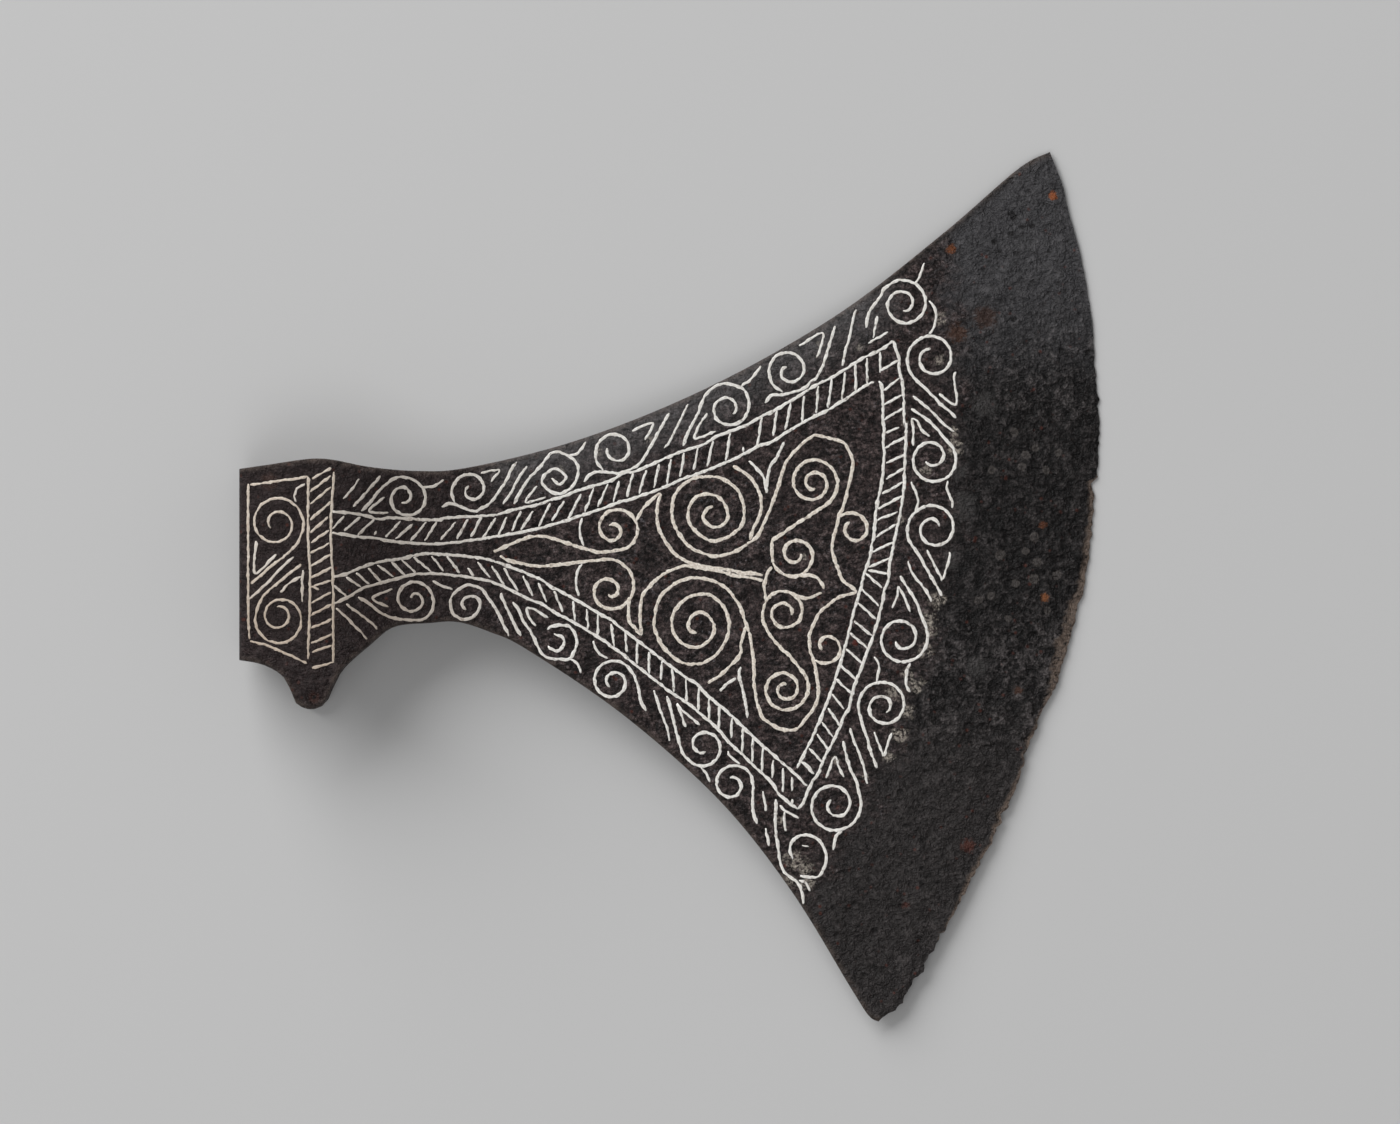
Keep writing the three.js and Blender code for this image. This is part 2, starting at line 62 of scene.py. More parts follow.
# Half of its thickness at four places.
BUTT_HALF = 11
SOCKET_HALF = 14
BLADE_HALF = 1.8
EDGE_HALF = 0.4
BUTT_ROUNDING = 1.75
CROWN_END = 22.4  # the socket starts to thin here
NECK_RUN = 20.3  # past its crown, the socket loses half of its extra thickness over this
BEVEL_WIDTH = 34
RIM_ROUNDING = 1.0
BACK_WALL = 5.5
EYE_LENGTH = 26
EYE_HALF = 10.5

# %% The drawing
PX_PER_MM = 4
BUTT_PX, HAFT_PX = 240, 564.5
EDGE_CENTRE_PX = np.array([194, 435])
EDGE_RADIUS_PX = 901.5
UPPER_CONTOUR = [
    (240, 469), (268, 465), (310, 459), (334, 460), (370, 467), (418, 471), (466, 468),
    (562, 445), (658, 410), (754, 364), (850, 306), (946, 231), (1018, 169), (1050, 152),
]
LOWER_CONTOUR = [
    (240, 660), (262, 664), (280, 673), (289, 684), (296, 702), (310, 709), (322, 706), (330, 695),
    (336, 680), (346, 666), (370, 645), (394, 627), (430, 623), (458, 622), (490, 632), (526, 649),
    (622, 714), (718, 799), (790, 889), (850, 987), (868, 1015), (878, 1021),
]


def on_axe(points):
    """Places in the drawing, as millimetres on the axe."""
    points = np.asarray(points, float)
    x = (points[..., 0] - BUTT_PX) / PX_PER_MM
    y = (HAFT_PX - points[..., 1]) / PX_PER_MM
    return np.stack([x, y], axis=-1)


def smooth_line(points, step):
    """Close points, a step apart, on a smooth curve through a few points."""
    knots = np.array([points[0], *points, points[-1]], float)
    line = []
    for a, b, c, d in zip(knots, knots[1:], knots[2:], knots[3:]):
        count = max(1, round(float(np.linalg.norm(c - b)) / step))
        t = (np.arange(count) / count)[:, None]
        line.append(b + 0.5 * (c - a) * t + (a - 2.5 * b + 2 * c - 0.5 * d) * t**2
                    + 0.5 * (3 * b - a - 3 * c + d) * t**3)
    return np.vstack([*line, knots[-1:]])


# %% [markdown]
# ## How the head lies
# On a table the head rests on the crown of its socket and on its cutting edge, so its middle plane is
# tipped by about four degrees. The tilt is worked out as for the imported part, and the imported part's own
# vertices, turned back by that tilt, say where the drawing's origin is.

# %% Thickness and lie
def half_thickness(x):
    """Half of the iron's thickness at a distance from the butt, up to the bevel."""
    x = np.asarray(x, float)
    crown = SOCKET_HALF - (SOCKET_HALF - BUTT_HALF) * np.clip(1 - x / CROWN_END, 0, None) ** 2
    run = np.clip(x - CROWN_END, 0, None) / NECK_RUN
    return np.where(x < CROWN_END, crown, BLADE_HALF + (SOCKET_HALF - BLADE_HALF) / (1 + run**2))


edge_reach = on_axe(EDGE_CENTRE_PX)[0] + EDGE_RADIUS_PX / PX_PER_MM
socket_x = np.arange(0, CROWN_END + NECK_RUN, 0.5)
tilt = atan(max((half_thickness(socket_x) - EDGE_HALF) / (edge_reach - socket_x)))
turn = Matrix.Rotation(tilt, 4, "Y")
solid = np.array([v.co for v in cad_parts["axe_head"].data.vertices]) @ np.array(turn.to_3x3())
origin = Vector((
    solid[:, 0].min(),
    solid[:, 1].max() - on_axe(UPPER_CONTOUR[-1])[1] * MM,
    (solid[:, 2].min() + solid[:, 2].max()) / 2,
))
lie = turn @ Matrix.Translation(origin) @ Matrix.Scale(MM, 4)
print(f"tilt {tilt * 180 / pi:.2f} degrees, drawing's origin at", [round(v, 5) for v in lie.translation])

# %% [markdown]
# ## The iron's surface
# The forging is a sleeve: at each station from the butt to the edge, one loop runs over the face, round
# the rim, back under the blade and round the other rim. The stations fan out as the blade flares. So
# the whole head can start as a flat grid that is rolled up: one side of the grid is stations, the other
# runs round the loop. The rims are rounded, and the two ends are closed by loops that shrink to a line.

# %% The worn cutting edge
# How far the edge is worn back, in millimetres, at heights in the drawing, as read off the photograph:
# its upper half bulges slightly, there is a step in the middle, and the lower half is eaten away.
EDGE_WORN = [
    (152, 0), (190, -0.6), (210, -0.2), (250, -0.7), (330, -0.9), (360, -0.4), (420, -0.9), (479, -0.6),
    (482, 0.9), (500, -0.2), (598, -0.3), (603, 0.4), (630, 0.3), (650, 0.8), (690, 0.9), (710, 2.5),
    (740, 2.4), (750, 3.0), (790, 1.5), (820, 2.1), (850, 1.4), (860, 1.8), (900, 1.1), (940, 0.4),
    (960, 0), (970, -0.9), (980, -0.2), (1000, -1.7), (1020, 0),
]


def contour_y(contour, x):
    line = smooth_line(contour, 1)
    return np.interp(x, line[:, 0], line[:, 1])


def crossing(contour, radius):
    """Where a contour first passes a circle round the centre of the cutting edge."""
    line = smooth_line(contour, 0.25)
    return line[np.argmax(np.linalg.norm(line - EDGE_CENTRE_PX, axis=1) > radius)]


def arc_angle(point):
    return np.arctan2(point[1] - EDGE_CENTRE_PX[1], point[0] - EDGE_CENTRE_PX[0])


def on_arc(angle, radius):
    return EDGE_CENTRE_PX + np.stack([radius * np.cos(angle), radius * np.sin(angle)], axis=-1)


bevel_radius = EDGE_RADIUS_PX - BEVEL_WIDTH * PX_PER_MM
bevel_ends = [crossing(contour, bevel_radius) for contour in (LOWER_CONTOUR, UPPER_CONTOUR)]
tips = [np.array(contour[-1], float) for contour in (LOWER_CONTOUR, UPPER_CONTOUR)]


def ragged(distance, seed, size):
    """Uneven numbers from -1 to 1 along an edge, the same on each run."""
    return np.array([noise.fractal((d / size, seed, 0), 0.6, 2.1, 4) for d in distance])


def edge_line(up):
    """The worn edge, from the lower tip to the upper one, in the drawing."""
    angle = arc_angle(tips[0]) + (arc_angle(tips[1]) - arc_angle(tips[0])) * up
    smooth = on_arc(angle, EDGE_RADIUS_PX)
    heights, worn = np.array(EDGE_WORN).T
    depth = np.interp(smooth[:, 1], heights, worn)
    nibble = np.interp(smooth[:, 1], (152, 340, 380, 480, 520, 760), (0.15, 0.2, 0.5, 0.5, 0.45, 0.72))
    nibbled = nibble * ragged(angle * EDGE_RADIUS_PX / PX_PER_MM, 7, 2.0)
    depth = (depth + nibbled) * np.clip(np.minimum(up, 1 - up) / 0.02, 0, 1)
    return on_arc(angle, EDGE_RADIUS_PX - depth * PX_PER_MM)


# Heights in the drawing, and how broad a strip has flaked off beside the edge there, in millimetres.
FLAKED_WIDTH = [
    (150, 0), (470, 0), (486, 0.8), (540, 1.2), (592, 1.4), (604, 2.3), (660, 2.5), (690, 1.3), (704, 0.3),
    (735, 0.7), (760, 0.3), (800, 1.1), (840, 0.6), (880, 0.9), (930, 0.2), (1030, 0),
]
FLAKE_DEPTH = 0.22
edge_now = on_axe(edge_line(np.linspace(0, 1, 900)))


def distance_to(line, points):
    """How far each point is from the nearest point of a line."""
    tree = kdtree.KDTree(len(line))
    for number, (x, y) in enumerate(line):
        tree.insert((x, y, 0), number)
    tree.balance()
    return np.array([tree.find((x, y, 0))[2] for x, y in points])


def from_edge(points):
    return distance_to(edge_now, points)


# %% The plan, station by station
def plan(station, up):
    """Places in the drawing at one station (0 butt, 1 start of the bevel, 2 edge), for shares of the
    way up."""
    flat, on_bevel = min(station, 1), max(station - 1, 0)
    middle = EDGE_CENTRE_PX[0] + bevel_radius
    ends = []
    for contour, end, tip in zip((LOWER_CONTOUR, UPPER_CONTOUR), bevel_ends, tips):
        x = BUTT_PX + (middle - BUTT_PX) * flat + (end[0] - middle) * flat**2
        x += (tip[0] - x) * on_bevel
        ends.append(np.array([x, contour_y(contour, x)]))
    angle = arc_angle(bevel_ends[0]) + (arc_angle(bevel_ends[1]) - arc_angle(bevel_ends[0])) * up
    rows = []
    for line, (low, high) in ((on_arc(angle, bevel_radius), bevel_ends), (edge_line(up), tips)):
        rows.append(line - low - (high - low) * up[:, None])
    bulge = rows[0] + (rows[1] - rows[0]) * on_bevel
    return ends[0] + (ends[1] - ends[0]) * up[:, None] + bulge * flat**2


# %% [markdown]
# ## Relief
# Old forged iron is never flat: it keeps the hammer's shallow dents and the pits that rust has eaten.
# Dents and pits wider than about a millimetre are real relief here. Finer pitting is left to the
# material. The silver asks for the same relief, so that it lies in the face and not above it.

# %% Dents and pits
# Pits: place in the drawing, radius and depth in millimetres.
PITS = [
    (1012, 533, 1.5, 0.30), (1023, 547, 1.3, 0.28), (1038, 541, 1.4, 0.30), (1047, 558, 1.2, 0.25),
    (1019, 566, 1.4, 0.30), (1033, 573, 1.2, 0.25), (1008, 577, 1.1, 0.22), (1055, 578, 1.2, 0.25),
    (1044, 598, 1.4, 0.25), (813, 848, 1.4, 0.35), (315, 697, 1.5, 0.40), (985, 470, 1.8, 0.16),
    (1004, 500, 1.8, 0.18), (968, 545, 1.7, 0.15), (1060, 500, 1.4, 0.15), (990, 610, 1.8, 0.15),
    (1032, 640, 1.7, 0.15), (975, 350, 2.2, 0.15), (1010, 330, 2.4, 0.14), (1040, 300, 2.2, 0.12),
    (1000, 400, 2.0, 0.15), (1050, 380, 2.2, 0.14), (945, 640, 1.6, 0.14), (960, 690, 1.6, 0.14),
]


# How high and how broad the hammer's dents and the grain of the skin are, in millimetres.
DENT_HEIGHT, DENT_LENGTH, DENT_BREADTH = 0.10, 9, 7
SKIN_HEIGHT, SKIN_LENGTH, SKIN_BREADTH = 0.035, 1.7, 1.5


def relief(x, y):
    """How far the decorated face stands above or below its smooth shape, in millimetres."""
    height = np.array([
        DENT_HEIGHT * noise.fractal((u / DENT_LENGTH, v / DENT_BREADTH, 3), 0.8, 2.0, 4)
        + SKIN_HEIGHT * noise.noise((u / SKIN_LENGTH, v / SKIN_BREADTH, 9))
        for u, v in zip(x, y)
    ])
    for px, py, radius, depth in PITS:
        centre = on_axe((px, py))
        height -= depth * np.exp(-((x - centre[0]) ** 2 + (y - centre[1]) ** 2) / (0.6 * radius**2))
    if np.max(x) > edge_reach - BEVEL_WIDTH:
        flaked = np.interp(HAFT_PX - y * PX_PER_MM, *np.array(FLAKED_WIDTH).T)
        height -= FLAKE_DEPTH * np.clip((flaked - from_edge(np.stack([x, y], axis=1))) / 0.4 + 0.5, 0, 1)
    return height


# %% The sleeve: which rows a loop has, and which stations the head has
FACE_ROWS = 280  # from the lower rim to the upper one
SIDE_ROWS = 7  # down each side
BLADE_STATIONS = 112
BEVEL_STATIONS = 28  # closer together towards the edge, where the chips are
BUTT_STEPS = 5
BACK_RELIEF = 0.6  # the dents of the plain side, as a share of those of the face
near_rim = np.array([0, 0.10, 0.30, 0.62])  # millimetres in from the rim
shrink_to_face = [0, 0.3, 0.6, 0.85]

flat_length = (EDGE_CENTRE_PX[0] + bevel_radius - BUTT_PX) / PX_PER_MM
stations = [(0, share, BUTT_ROUNDING) for share in shrink_to_face]  # place, share of height, rounding
for step in range(BUTT_STEPS + 1):
    corner = step / BUTT_STEPS * pi / 2
    stations.append((BUTT_ROUNDING * (1 - cos(corner)) / flat_length, 1, BUTT_ROUNDING * (1 - sin(corner))))
first = stations[-1][0]
stations += [(first + (1 - first) * i / BLADE_STATIONS, 1, 0) for i in range(1, BLADE_STATIONS + 1)]
stations += [(2 - (1 - i / BEVEL_STATIONS) ** 1.5, 1, 0) for i in range(1, BEVEL_STATIONS + 1)]
stations += [(2, 0.5, 0), (2, 0, 0)]
loop_rows = 2 * (FACE_ROWS + SIDE_ROWS)
print(f"{len(stations)} stations with {loop_rows} rows round the loop")


def loop_at(station, share, rounding):
    """One loop round the head: over the face, down the upper rim, back and up the lower rim."""
    width = np.linalg.norm(np.diff(on_axe(plan(station, np.array([0.0, 1.0]))), axis=0))
    inner_rows = FACE_ROWS - 2 * len(near_rim) + 2
    inner = np.linspace(near_rim[-1] / width, 1 - near_rim[-1] / width, inner_rows)
    up = np.concatenate([near_rim[:-1] / width, inner, 1 - near_rim[-2::-1] / width])
    x, y = on_axe(plan(station, up)).T
    half = half_thickness(x)
    half += (EDGE_HALF * 0.6 - half) * max(station - 1, 0) - rounding
    to_rim = np.minimum(up, 1 - up) * width
    radius = np.minimum(RIM_ROUNDING, half / 2)
    inside = np.clip(1 - to_rim / radius, 0, 1)
    z = half - radius * (1 - np.sqrt(1 - inside**2))
    calm = np.clip(to_rim / 1.5, 0, 1) * min(1, max(0, (2 - station) * BEVEL_WIDTH / 3))
    bumps = relief(x, y) * calm * (share == 1)
    face = np.stack([x, y, (z + bumps) * share], axis=1)
    # Nothing stands out below, where the head rests, and its dents are shallower.
    dents = BACK_RELIEF * np.minimum(bumps[::-1], 0)
    back = np.stack([x, y, -(z + dents) * share], axis=1)[::-1]
    level = np.linspace(1, -1, SIDE_ROWS + 2)[1:-1, None]
    upper_side = face[-1] * [1, 1, 0] + face[-1] * [0, 0, 1] * level
    lower_side = face[0] * [1, 1, 0] - face[0] * [0, 0, 1] * level
    return np.vstack([face, upper_side, back, lower_side])


# %% Roll the grid into the head
def new_object(name, bm):
    """A finished mesh as an object at the origin."""
    mesh = bpy.data.meshes.new(name)
    bm.to_mesh(mesh)
    bm.free()
    made = bpy.data.objects.new(name, mesh)
    bpy.context.scene.collection.objects.link(made)
    return made


def roll(bm, loops, second_finish=()):
    """A grid whose vertices go to the places in loops, closed round and ready for its seam. The strips
    between steps that second_finish names get the object's second material."""
    rows, round_steps = len(loops), len(loops[0])
    grid = bmesh.ops.create_grid(bm, x_segments=rows - 1, y_segments=round_steps, size=1)["verts"]
    if second_finish:
        for face in {face for vertex in grid for face in vertex.link_faces}:
            strip = int((face.calc_center_median().y + 1) / 2 * round_steps)
            face.material_index = int(strip in second_finish)
    for vertex in grid:
        row = round((vertex.co.x + 1) / 2 * (rows - 1))
        step = round((vertex.co.y + 1) / 2 * round_steps) % round_steps
        vertex.co = lie @ Vector(loops[row][step])


iron_bm = bmesh.new()
roll(iron_bm, [loop_at(*station) for station in stations])
bmesh.ops.remove_doubles(iron_bm, verts=iron_bm.verts, dist=0.002 * MM)
bmesh.ops.recalc_face_normals(iron_bm, faces=iron_bm.faces)
open_edges = sum(not edge.is_manifold for edge in iron_bm.edges)
head = new_object("forged_head", iron_bm)
print(f"iron: {len(head.data.polygons)} faces, {open_edges} open edges")

# %% [markdown]
# ## The eye
# The haft's eye is punched right through the socket along Y. It is flat at the back and rounded towards
# the blade. A closed prism of that outline is cut out of the head with a Boolean modifier.

# %% Cut the eye
def eye_outline(steps=14):
    """The eye's outline in X and Z: four bends, one after the other."""
    back, front, flat = BACK_WALL, BACK_WALL + EYE_LENGTH, 0.56 * EYE_HALF
    widest = back + 0.42 * EYE_LENGTH
    bends = [
        [(back, -flat), (back + 1, -0.9 * EYE_HALF), (widest - 0.2 * EYE_LENGTH, -EYE_HALF),
         (widest, -EYE_HALF)],
        [(widest, -EYE_HALF), (widest + 0.3 * EYE_LENGTH, -EYE_HALF), (front, -0.55 * EYE_HALF), (front, 0)],
    ]
    t = (np.arange(steps) / steps)[:, None]
    lower = [
        (1 - t) ** 3 * a + 3 * (1 - t) ** 2 * t * b + 3 * (1 - t) * t**2 * c + t**3 * d
        for a, b, c, d in np.array(bends)
    ]
    lower = np.vstack([*lower, [[front, 0]]])
    return np.vstack([lower, lower[-2::-1] * [1, -1]])


SHARP_DEGREES = 38  # an edge that bends more than this is shaded as a corner
PUNCH_REACH = 60  # how far the prism stands out on each side, well past the lugs

eye_bm = bmesh.new()
outline = [eye_bm.verts.new(lie @ Vector((x, -PUNCH_REACH, z))) for x, z in eye_outline()]
eye_face = eye_bm.faces.new(outline)
pushed = bmesh.ops.extrude_face_region(eye_bm, geom=[eye_face])["geom"]
along_haft = lie.to_3x3() @ Vector((0, 2 * PUNCH_REACH, 0))
bmesh.ops.translate(eye_bm, vec=along_haft, verts=[v for v in pushed if isinstance(v, bmesh.types.BMVert)])
bmesh.ops.recalc_face_normals(eye_bm, faces=eye_bm.faces)
eye = new_object("eye_punch", eye_bm)
punch = head.modifiers.new("eye", "BOOLEAN")
punch.operation = "DIFFERENCE"
punch.solver = "EXACT"
punch.object = eye
drilled = bpy.data.meshes.new_from_object(head.evaluated_get(bpy.context.evaluated_depsgraph_get()))
head.modifiers.clear()
head.data = drilled
bpy.data.objects.remove(eye)
head.data.shade_smooth()
head.data.set_sharp_from_angle(angle=radians(SHARP_DEGREES))
print(f"iron with its eye: {len(head.data.polygons)} faces")

# %% [markdown]
# ## Finishes
# The two finishes are worked out in the shader from the place on the axe, so they need no pictures. A
# small class lets the shader's maths be written as plain expressions: each operator adds one node.

# %% A shader's sockets, with Python's operators
class Signal:
    """A number, direction or colour that runs through a shader."""

    def __init__(self, finish, socket):
        self.finish, self.socket = finish, socket

    def math(self, operation, *others):
        return self.finish.node("ShaderNodeMath", {"operation": operation}, [self, *others])

    def __add__(self, other):
        return self.math("ADD", other)

    def __sub__(self, other):
        return self.math("SUBTRACT", other)

    def __rsub__(self, other):
        return self.finish.node("ShaderNodeMath", {"operation": "SUBTRACT"}, [other, self])

    def __mul__(self, other):
        return self.math("MULTIPLY", other)

    def __truediv__(self, other):
        return self.math("DIVIDE", other)

    def __pow__(self, other):
        return self.math("POWER", other)

    __radd__ = __add__
    __rmul__ = __mul__


class Finish:
    """A material that is built node by node."""

    def __init__(self, name, roughness, metallic):
        self.material = bpy.data.materials.new(name)
        self.material.use_nodes = True
        self.tree = self.material.node_tree
        self.shader = self.tree.nodes["Principled BSDF"]
        self.shader.inputs["Roughness"].default_value = roughness
        self.shader.inputs["Metallic"].default_value = metallic
        # Places on the axe in millimetres: X from the butt, Y along the haft, Z through the thickness.
        place = self.node("ShaderNodeTexCoord", {}, {}, "Object")
        back = -(lie.to_3x3().inverted() @ lie.translation)
        self.place = self.node("ShaderNodeMapping", {}, {
            "Vector": place, "Location": back, "Rotation": (0, -tilt, 0), "Scale": (1 / MM,) * 3,
        })

    def node(self, kind, settings, inputs, output=0):
        """Adds a node, sets it up, feeds its sockets and gives one of its outputs."""
        made = self.tree.nodes.new(kind)
        for name, value in settings.items():
            setattr(made, name, value)
        pairs = inputs.items() if isinstance(inputs, dict) else enumerate(inputs)
        for key, value in pairs:
            if isinstance(value, Signal):
                self.tree.links.new(value.socket, made.inputs[key])
            else:
                made.inputs[key].default_value = value
        return Signal(self, made.outputs[output])

    def mix(self, share, low, high):
        """A colour between two colours."""
        low, high = [(*c, 1) if isinstance(c, tuple) else c for c in (low, high)]
        settings = {"data_type": "RGBA", "clamp_factor": True}
        return self.node("ShaderNodeMix", settings, {0: share, 6: low, 7: high}, 2)

    def stretched(self, x, y, z=1):
        """The place on the axe, measured with unequal rulers, so that a pattern comes out stretched."""
        return self.node("ShaderNodeVectorMath", {"operation": "MULTIPLY"}, [self.place, (x, y, z)])

    def grain(self, size, detail=4, rough=0.6, place=None, seed=0):
        """Soft noise from 0 to 1, with lumps of about one size in millimetres."""
        inputs = {"Vector": place or self.place, "W": seed, "Scale": 1 / size, "Detail": detail,
                  "Roughness": rough}
        return self.node("ShaderNodeTexNoise", {"noise_dimensions": "4D"}, inputs)

    def between(self, value, low, high):
        """0 below low, 1 above high and a smooth step in between."""
        settings = {"interpolation_type": "SMOOTHSTEP"}
        return self.node("ShaderNodeMapRange", settings, [value, low, high, 0.0, 1.0])

    def from_point(self, px, py):
        """How far it is, in millimetres and seen from above, to a place of the drawing."""
        x, y = on_axe((px, py))
        flat = self.node("ShaderNodeVectorMath", {"operation": "MULTIPLY"}, [self.place, (1, 1, 0)])
        return self.node("ShaderNodeVectorMath", {"operation": "DISTANCE"}, [flat, (x, y, 0)], 1)

    def patch(self, px, py, radius, ragged_by):
        """1 at a place of the drawing, with a ragged rim at a radius in millimetres."""
        away = self.from_point(px, py) + (ragged_by - 0.5) * radius * 2.2
        return 1 - self.between(away, radius * 0.45, radius)

    def cells(self, size, place=None):
        """How far it is to the middle of the nearest cell of about one size, in cells."""
        inputs = {"Vector": place or self.place, "Scale": 1 / size, "Randomness": 1.0}
        return self.node("ShaderNodeTexVoronoi", {"voronoi_dimensions": "3D"}, inputs)

    def worn(self, name):
        """The share of wear, painted sheen or painted shade that the mesh carries in one of its own
        attributes.
        """
        return self.node("ShaderNodeAttribute", {"attribute_name": name}, {}, 2)

    def xyz(self):
        """The place on the axe as three numbers, in millimetres."""
        split = self.node("ShaderNodeSeparateXYZ", {}, [self.place])
        return [Signal(self, output) for output in split.socket.node.outputs]

    def bump(self, height, distance_mm, strength=1.0, normal=None):
        inputs = {"Height": height, "Distance": distance_mm * MM, "Strength": strength}
        if normal:
            inputs["Normal"] = normal
        return self.node("ShaderNodeBump", {}, inputs)

    def feed(self, **signals):
        """Feeds the shader's own sockets: a space in a socket's name is written as _."""
        for name, signal in signals.items():
            self.tree.links.new(signal.socket, self.shader.inputs[name.replace("_", " ")])
        return self.material


# %% [markdown]
# ## Iron
# The iron is brown-black. Over the decorated field it is finely mottled, purplish brown, with short
# streaks along the blade and small red specks; the light streaks and flecks are partly the iron's own
# tone and partly painted glints of light on rough iron. The socket and the neck are calmer. The crescent
# along the edge is neutral charcoal, most pitted in the middle. Its middle is darkened by painted shade,
# where the bevel turns from the light; its upper horn is smoother and lightened by a painted sheen, and
# the lower horn is smoother and lighter too. The colour is built up as a painter would: a dark and a
# light tone mixed by noise, then one thin layer after another over the parts it belongs to. Bump lends
# the finest pits, which no mesh could hold.

# %% The iron's colours
FIELD_DARK, FIELD_LIGHT_AND_GLINT = (0.0065, 0.0042, 0.0040), (0.135, 0.100, 0.096)
FIELD_BROWN, FIELD_FLECK_AND_GLINT = (0.036, 0.024, 0.024), (0.15, 0.145, 0.158)
SOCKET_BROWN = (0.0235, 0.0148, 0.0146)
EDGE_DARK, EDGE_LIGHT = (0.0022, 0.0014, 0.0014), (0.105, 0.093, 0.092)
EDGE_SHADE_BLACK, EDGE_FLECK_AND_GLINT = (0.0020, 0.0012, 0.0012), (0.105, 0.095, 0.095)
HORN_SHEEN_DARK, HORN_SHEEN_LIGHT = (0.050, 0.049, 0.053), (0.106, 0.104, 0.110)
HORN_TIP_SHEEN, LOW_HORN = (0.058, 0.056, 0.059), (0.0310, 0.0268, 0.0262)
PIT_BLACK, SPECK_RED = (0.0035, 0.0024, 0.0024), (0.085, 0.024, 0.016)
SHEEN_RING_GREY, FAINT_GREY = (0.098, 0.086, 0.080), (0.085, 0.080, 0.078)
SMEAR_SILVER = (0.46, 0.41, 0.35)
PAINTED_SHEEN_GREY, RIM_BROWN = (0.155, 0.150, 0.152), (0.12, 0.092, 0.078)
FLAKED_BROWN, CHAMFER_SHADE_BLACK = (0.145, 0.108, 0.086), (0.0030, 0.0026, 0.0026)

# %% The iron's field and crescent
iron = Finish("iron", 0.5, 0.0)
streaks = iron.grain(1.9, 4, 0.8, iron.stretched(0.75, 1.25))
dimples = iron.grain(2.2, 3, 0.78, seed=12.0)
blotch = iron.grain(7, 3, 0.6, seed=2.0)
fine = iron.grain(1.0, 3, 0.8, seed=5.0)
across, along, through = iron.xyz()
front = iron.between(through, -0.3, 0.3)
bevel_mm = bevel_radius / PX_PER_MM
from_centre = iron.from_point(*EDGE_CENTRE_PX)
crescent = iron.between(from_centre + (blotch - 0.5) * 26, bevel_mm - 5, bevel_mm + 5)

# The light streaks and flecks are partly the iron's own uneven tone and partly painted glints of light on
# rough iron.
light_streak_and_glint = iron.between(streaks, 0.36, 0.68) ** 1.7
light_lump = iron.between(dimples, 0.38, 0.70) ** 1.8
fleck_and_glint = iron.between(fine, 0.54, 0.70)
field_colour = iron.mix(light_streak_and_glint, FIELD_DARK, FIELD_LIGHT_AND_GLINT)
field_colour = iron.mix(iron.between(blotch, 0.40, 0.75) * 0.4, field_colour, FIELD_BROWN)
field_colour = iron.mix(fleck_and_glint * iron.between(blotch, 0.55, 0.40) * 0.45, field_colour, FIELD_FLECK_AND_GLINT)
calm = 1 - iron.between(across + (blotch - 0.5) * 30, 34, 80)
field_colour = iron.mix(calm * 0.72, field_colour, SOCKET_BROWN)
charcoal = iron.mix(light_lump, EDGE_DARK, EDGE_LIGHT)
# Heights along the haft, in millimetres, where the crescent turns into its horns.
horn = iron.between(along + (blotch - 0.5) * 14, 38, 80)
# Painted shade: the middle of the crescent is darkened, where its bevel turns away from the light.
painted_shade_middle = iron.between(along, -32, 0) * (1 - iron.between(along, 28, 52))
# Painted sheen: towards the upper horn the charcoal is lightened to slate grey, where the bevel catches the
# light.
painted_sheen_iron = iron.mix(light_lump, HORN_SHEEN_DARK, HORN_SHEEN_LIGHT)
charcoal = iron.mix(horn * 0.85, charcoal, painted_sheen_iron)
charcoal = iron.mix(painted_shade_middle * 0.52, charcoal, EDGE_SHADE_BLACK)
low_horn = 1 - iron.between(along + (blotch - 0.5) * 24, -58, -26)
charcoal = iron.mix(low_horn * 0.66, charcoal, LOW_HORN)
# More painted sheen: an even slate grey near the upper tip.
charcoal = iron.mix(iron.between(along + (blotch - 0.5) * 24, 42, 70) * 0.45, charcoal, HORN_TIP_SHEEN)
# Flecks in the crescent: partly its own tone, partly painted glints.
charcoal = iron.mix(fleck_and_glint * 0.22, charcoal, EDGE_FLECK_AND_GLINT)
colour = iron.mix(crescent, field_colour, charcoal)
quiet = calm * 0.6 + crescent * (0.22 + low_horn * 0.36 + horn * 0.46)
grit = iron.between(fine, 0.36, 0.66) * 1.5 * (1 - quiet) + 0.35 + quiet * 0.65
colour = iron.node("ShaderNodeVectorMath", {"operation": "SCALE"}, {0: colour, 3: grit})

# Small dark pits in the crescent, and red specks in places.
red_specks = iron.cells(2.2)
pit_cells = iron.cells(3.1, iron.stretched(0.8, 1.1))
pit = (1 - iron.between(pit_cells + (fine - 0.5) * 0.5, 0.08, 0.30)) * crescent
pit = pit * iron.between(iron.grain(6, 2, 0.5, seed=9.0), 0.42, 0.58)
colour = iron.mix(pit * 0.75, colour, PIT_BLACK)
speck_here = iron.between(iron.grain(4, 2, 0.5, seed=8.0), 0.52, 0.64)
colour = iron.mix((1 - iron.between(red_specks, 0.10, 0.30)) * speck_here * 0.8, colour, SPECK_RED)

# %% [markdown]
# ## Marks at their own places
# Some marks can be told apart one by one: light grey rings of painted sheen, rust that is red or orange,
# and silver that has been smeared over the iron beside worn wires. Each is a patch at its place in the
# drawing, with a ragged rim. They are only on the decorated face.

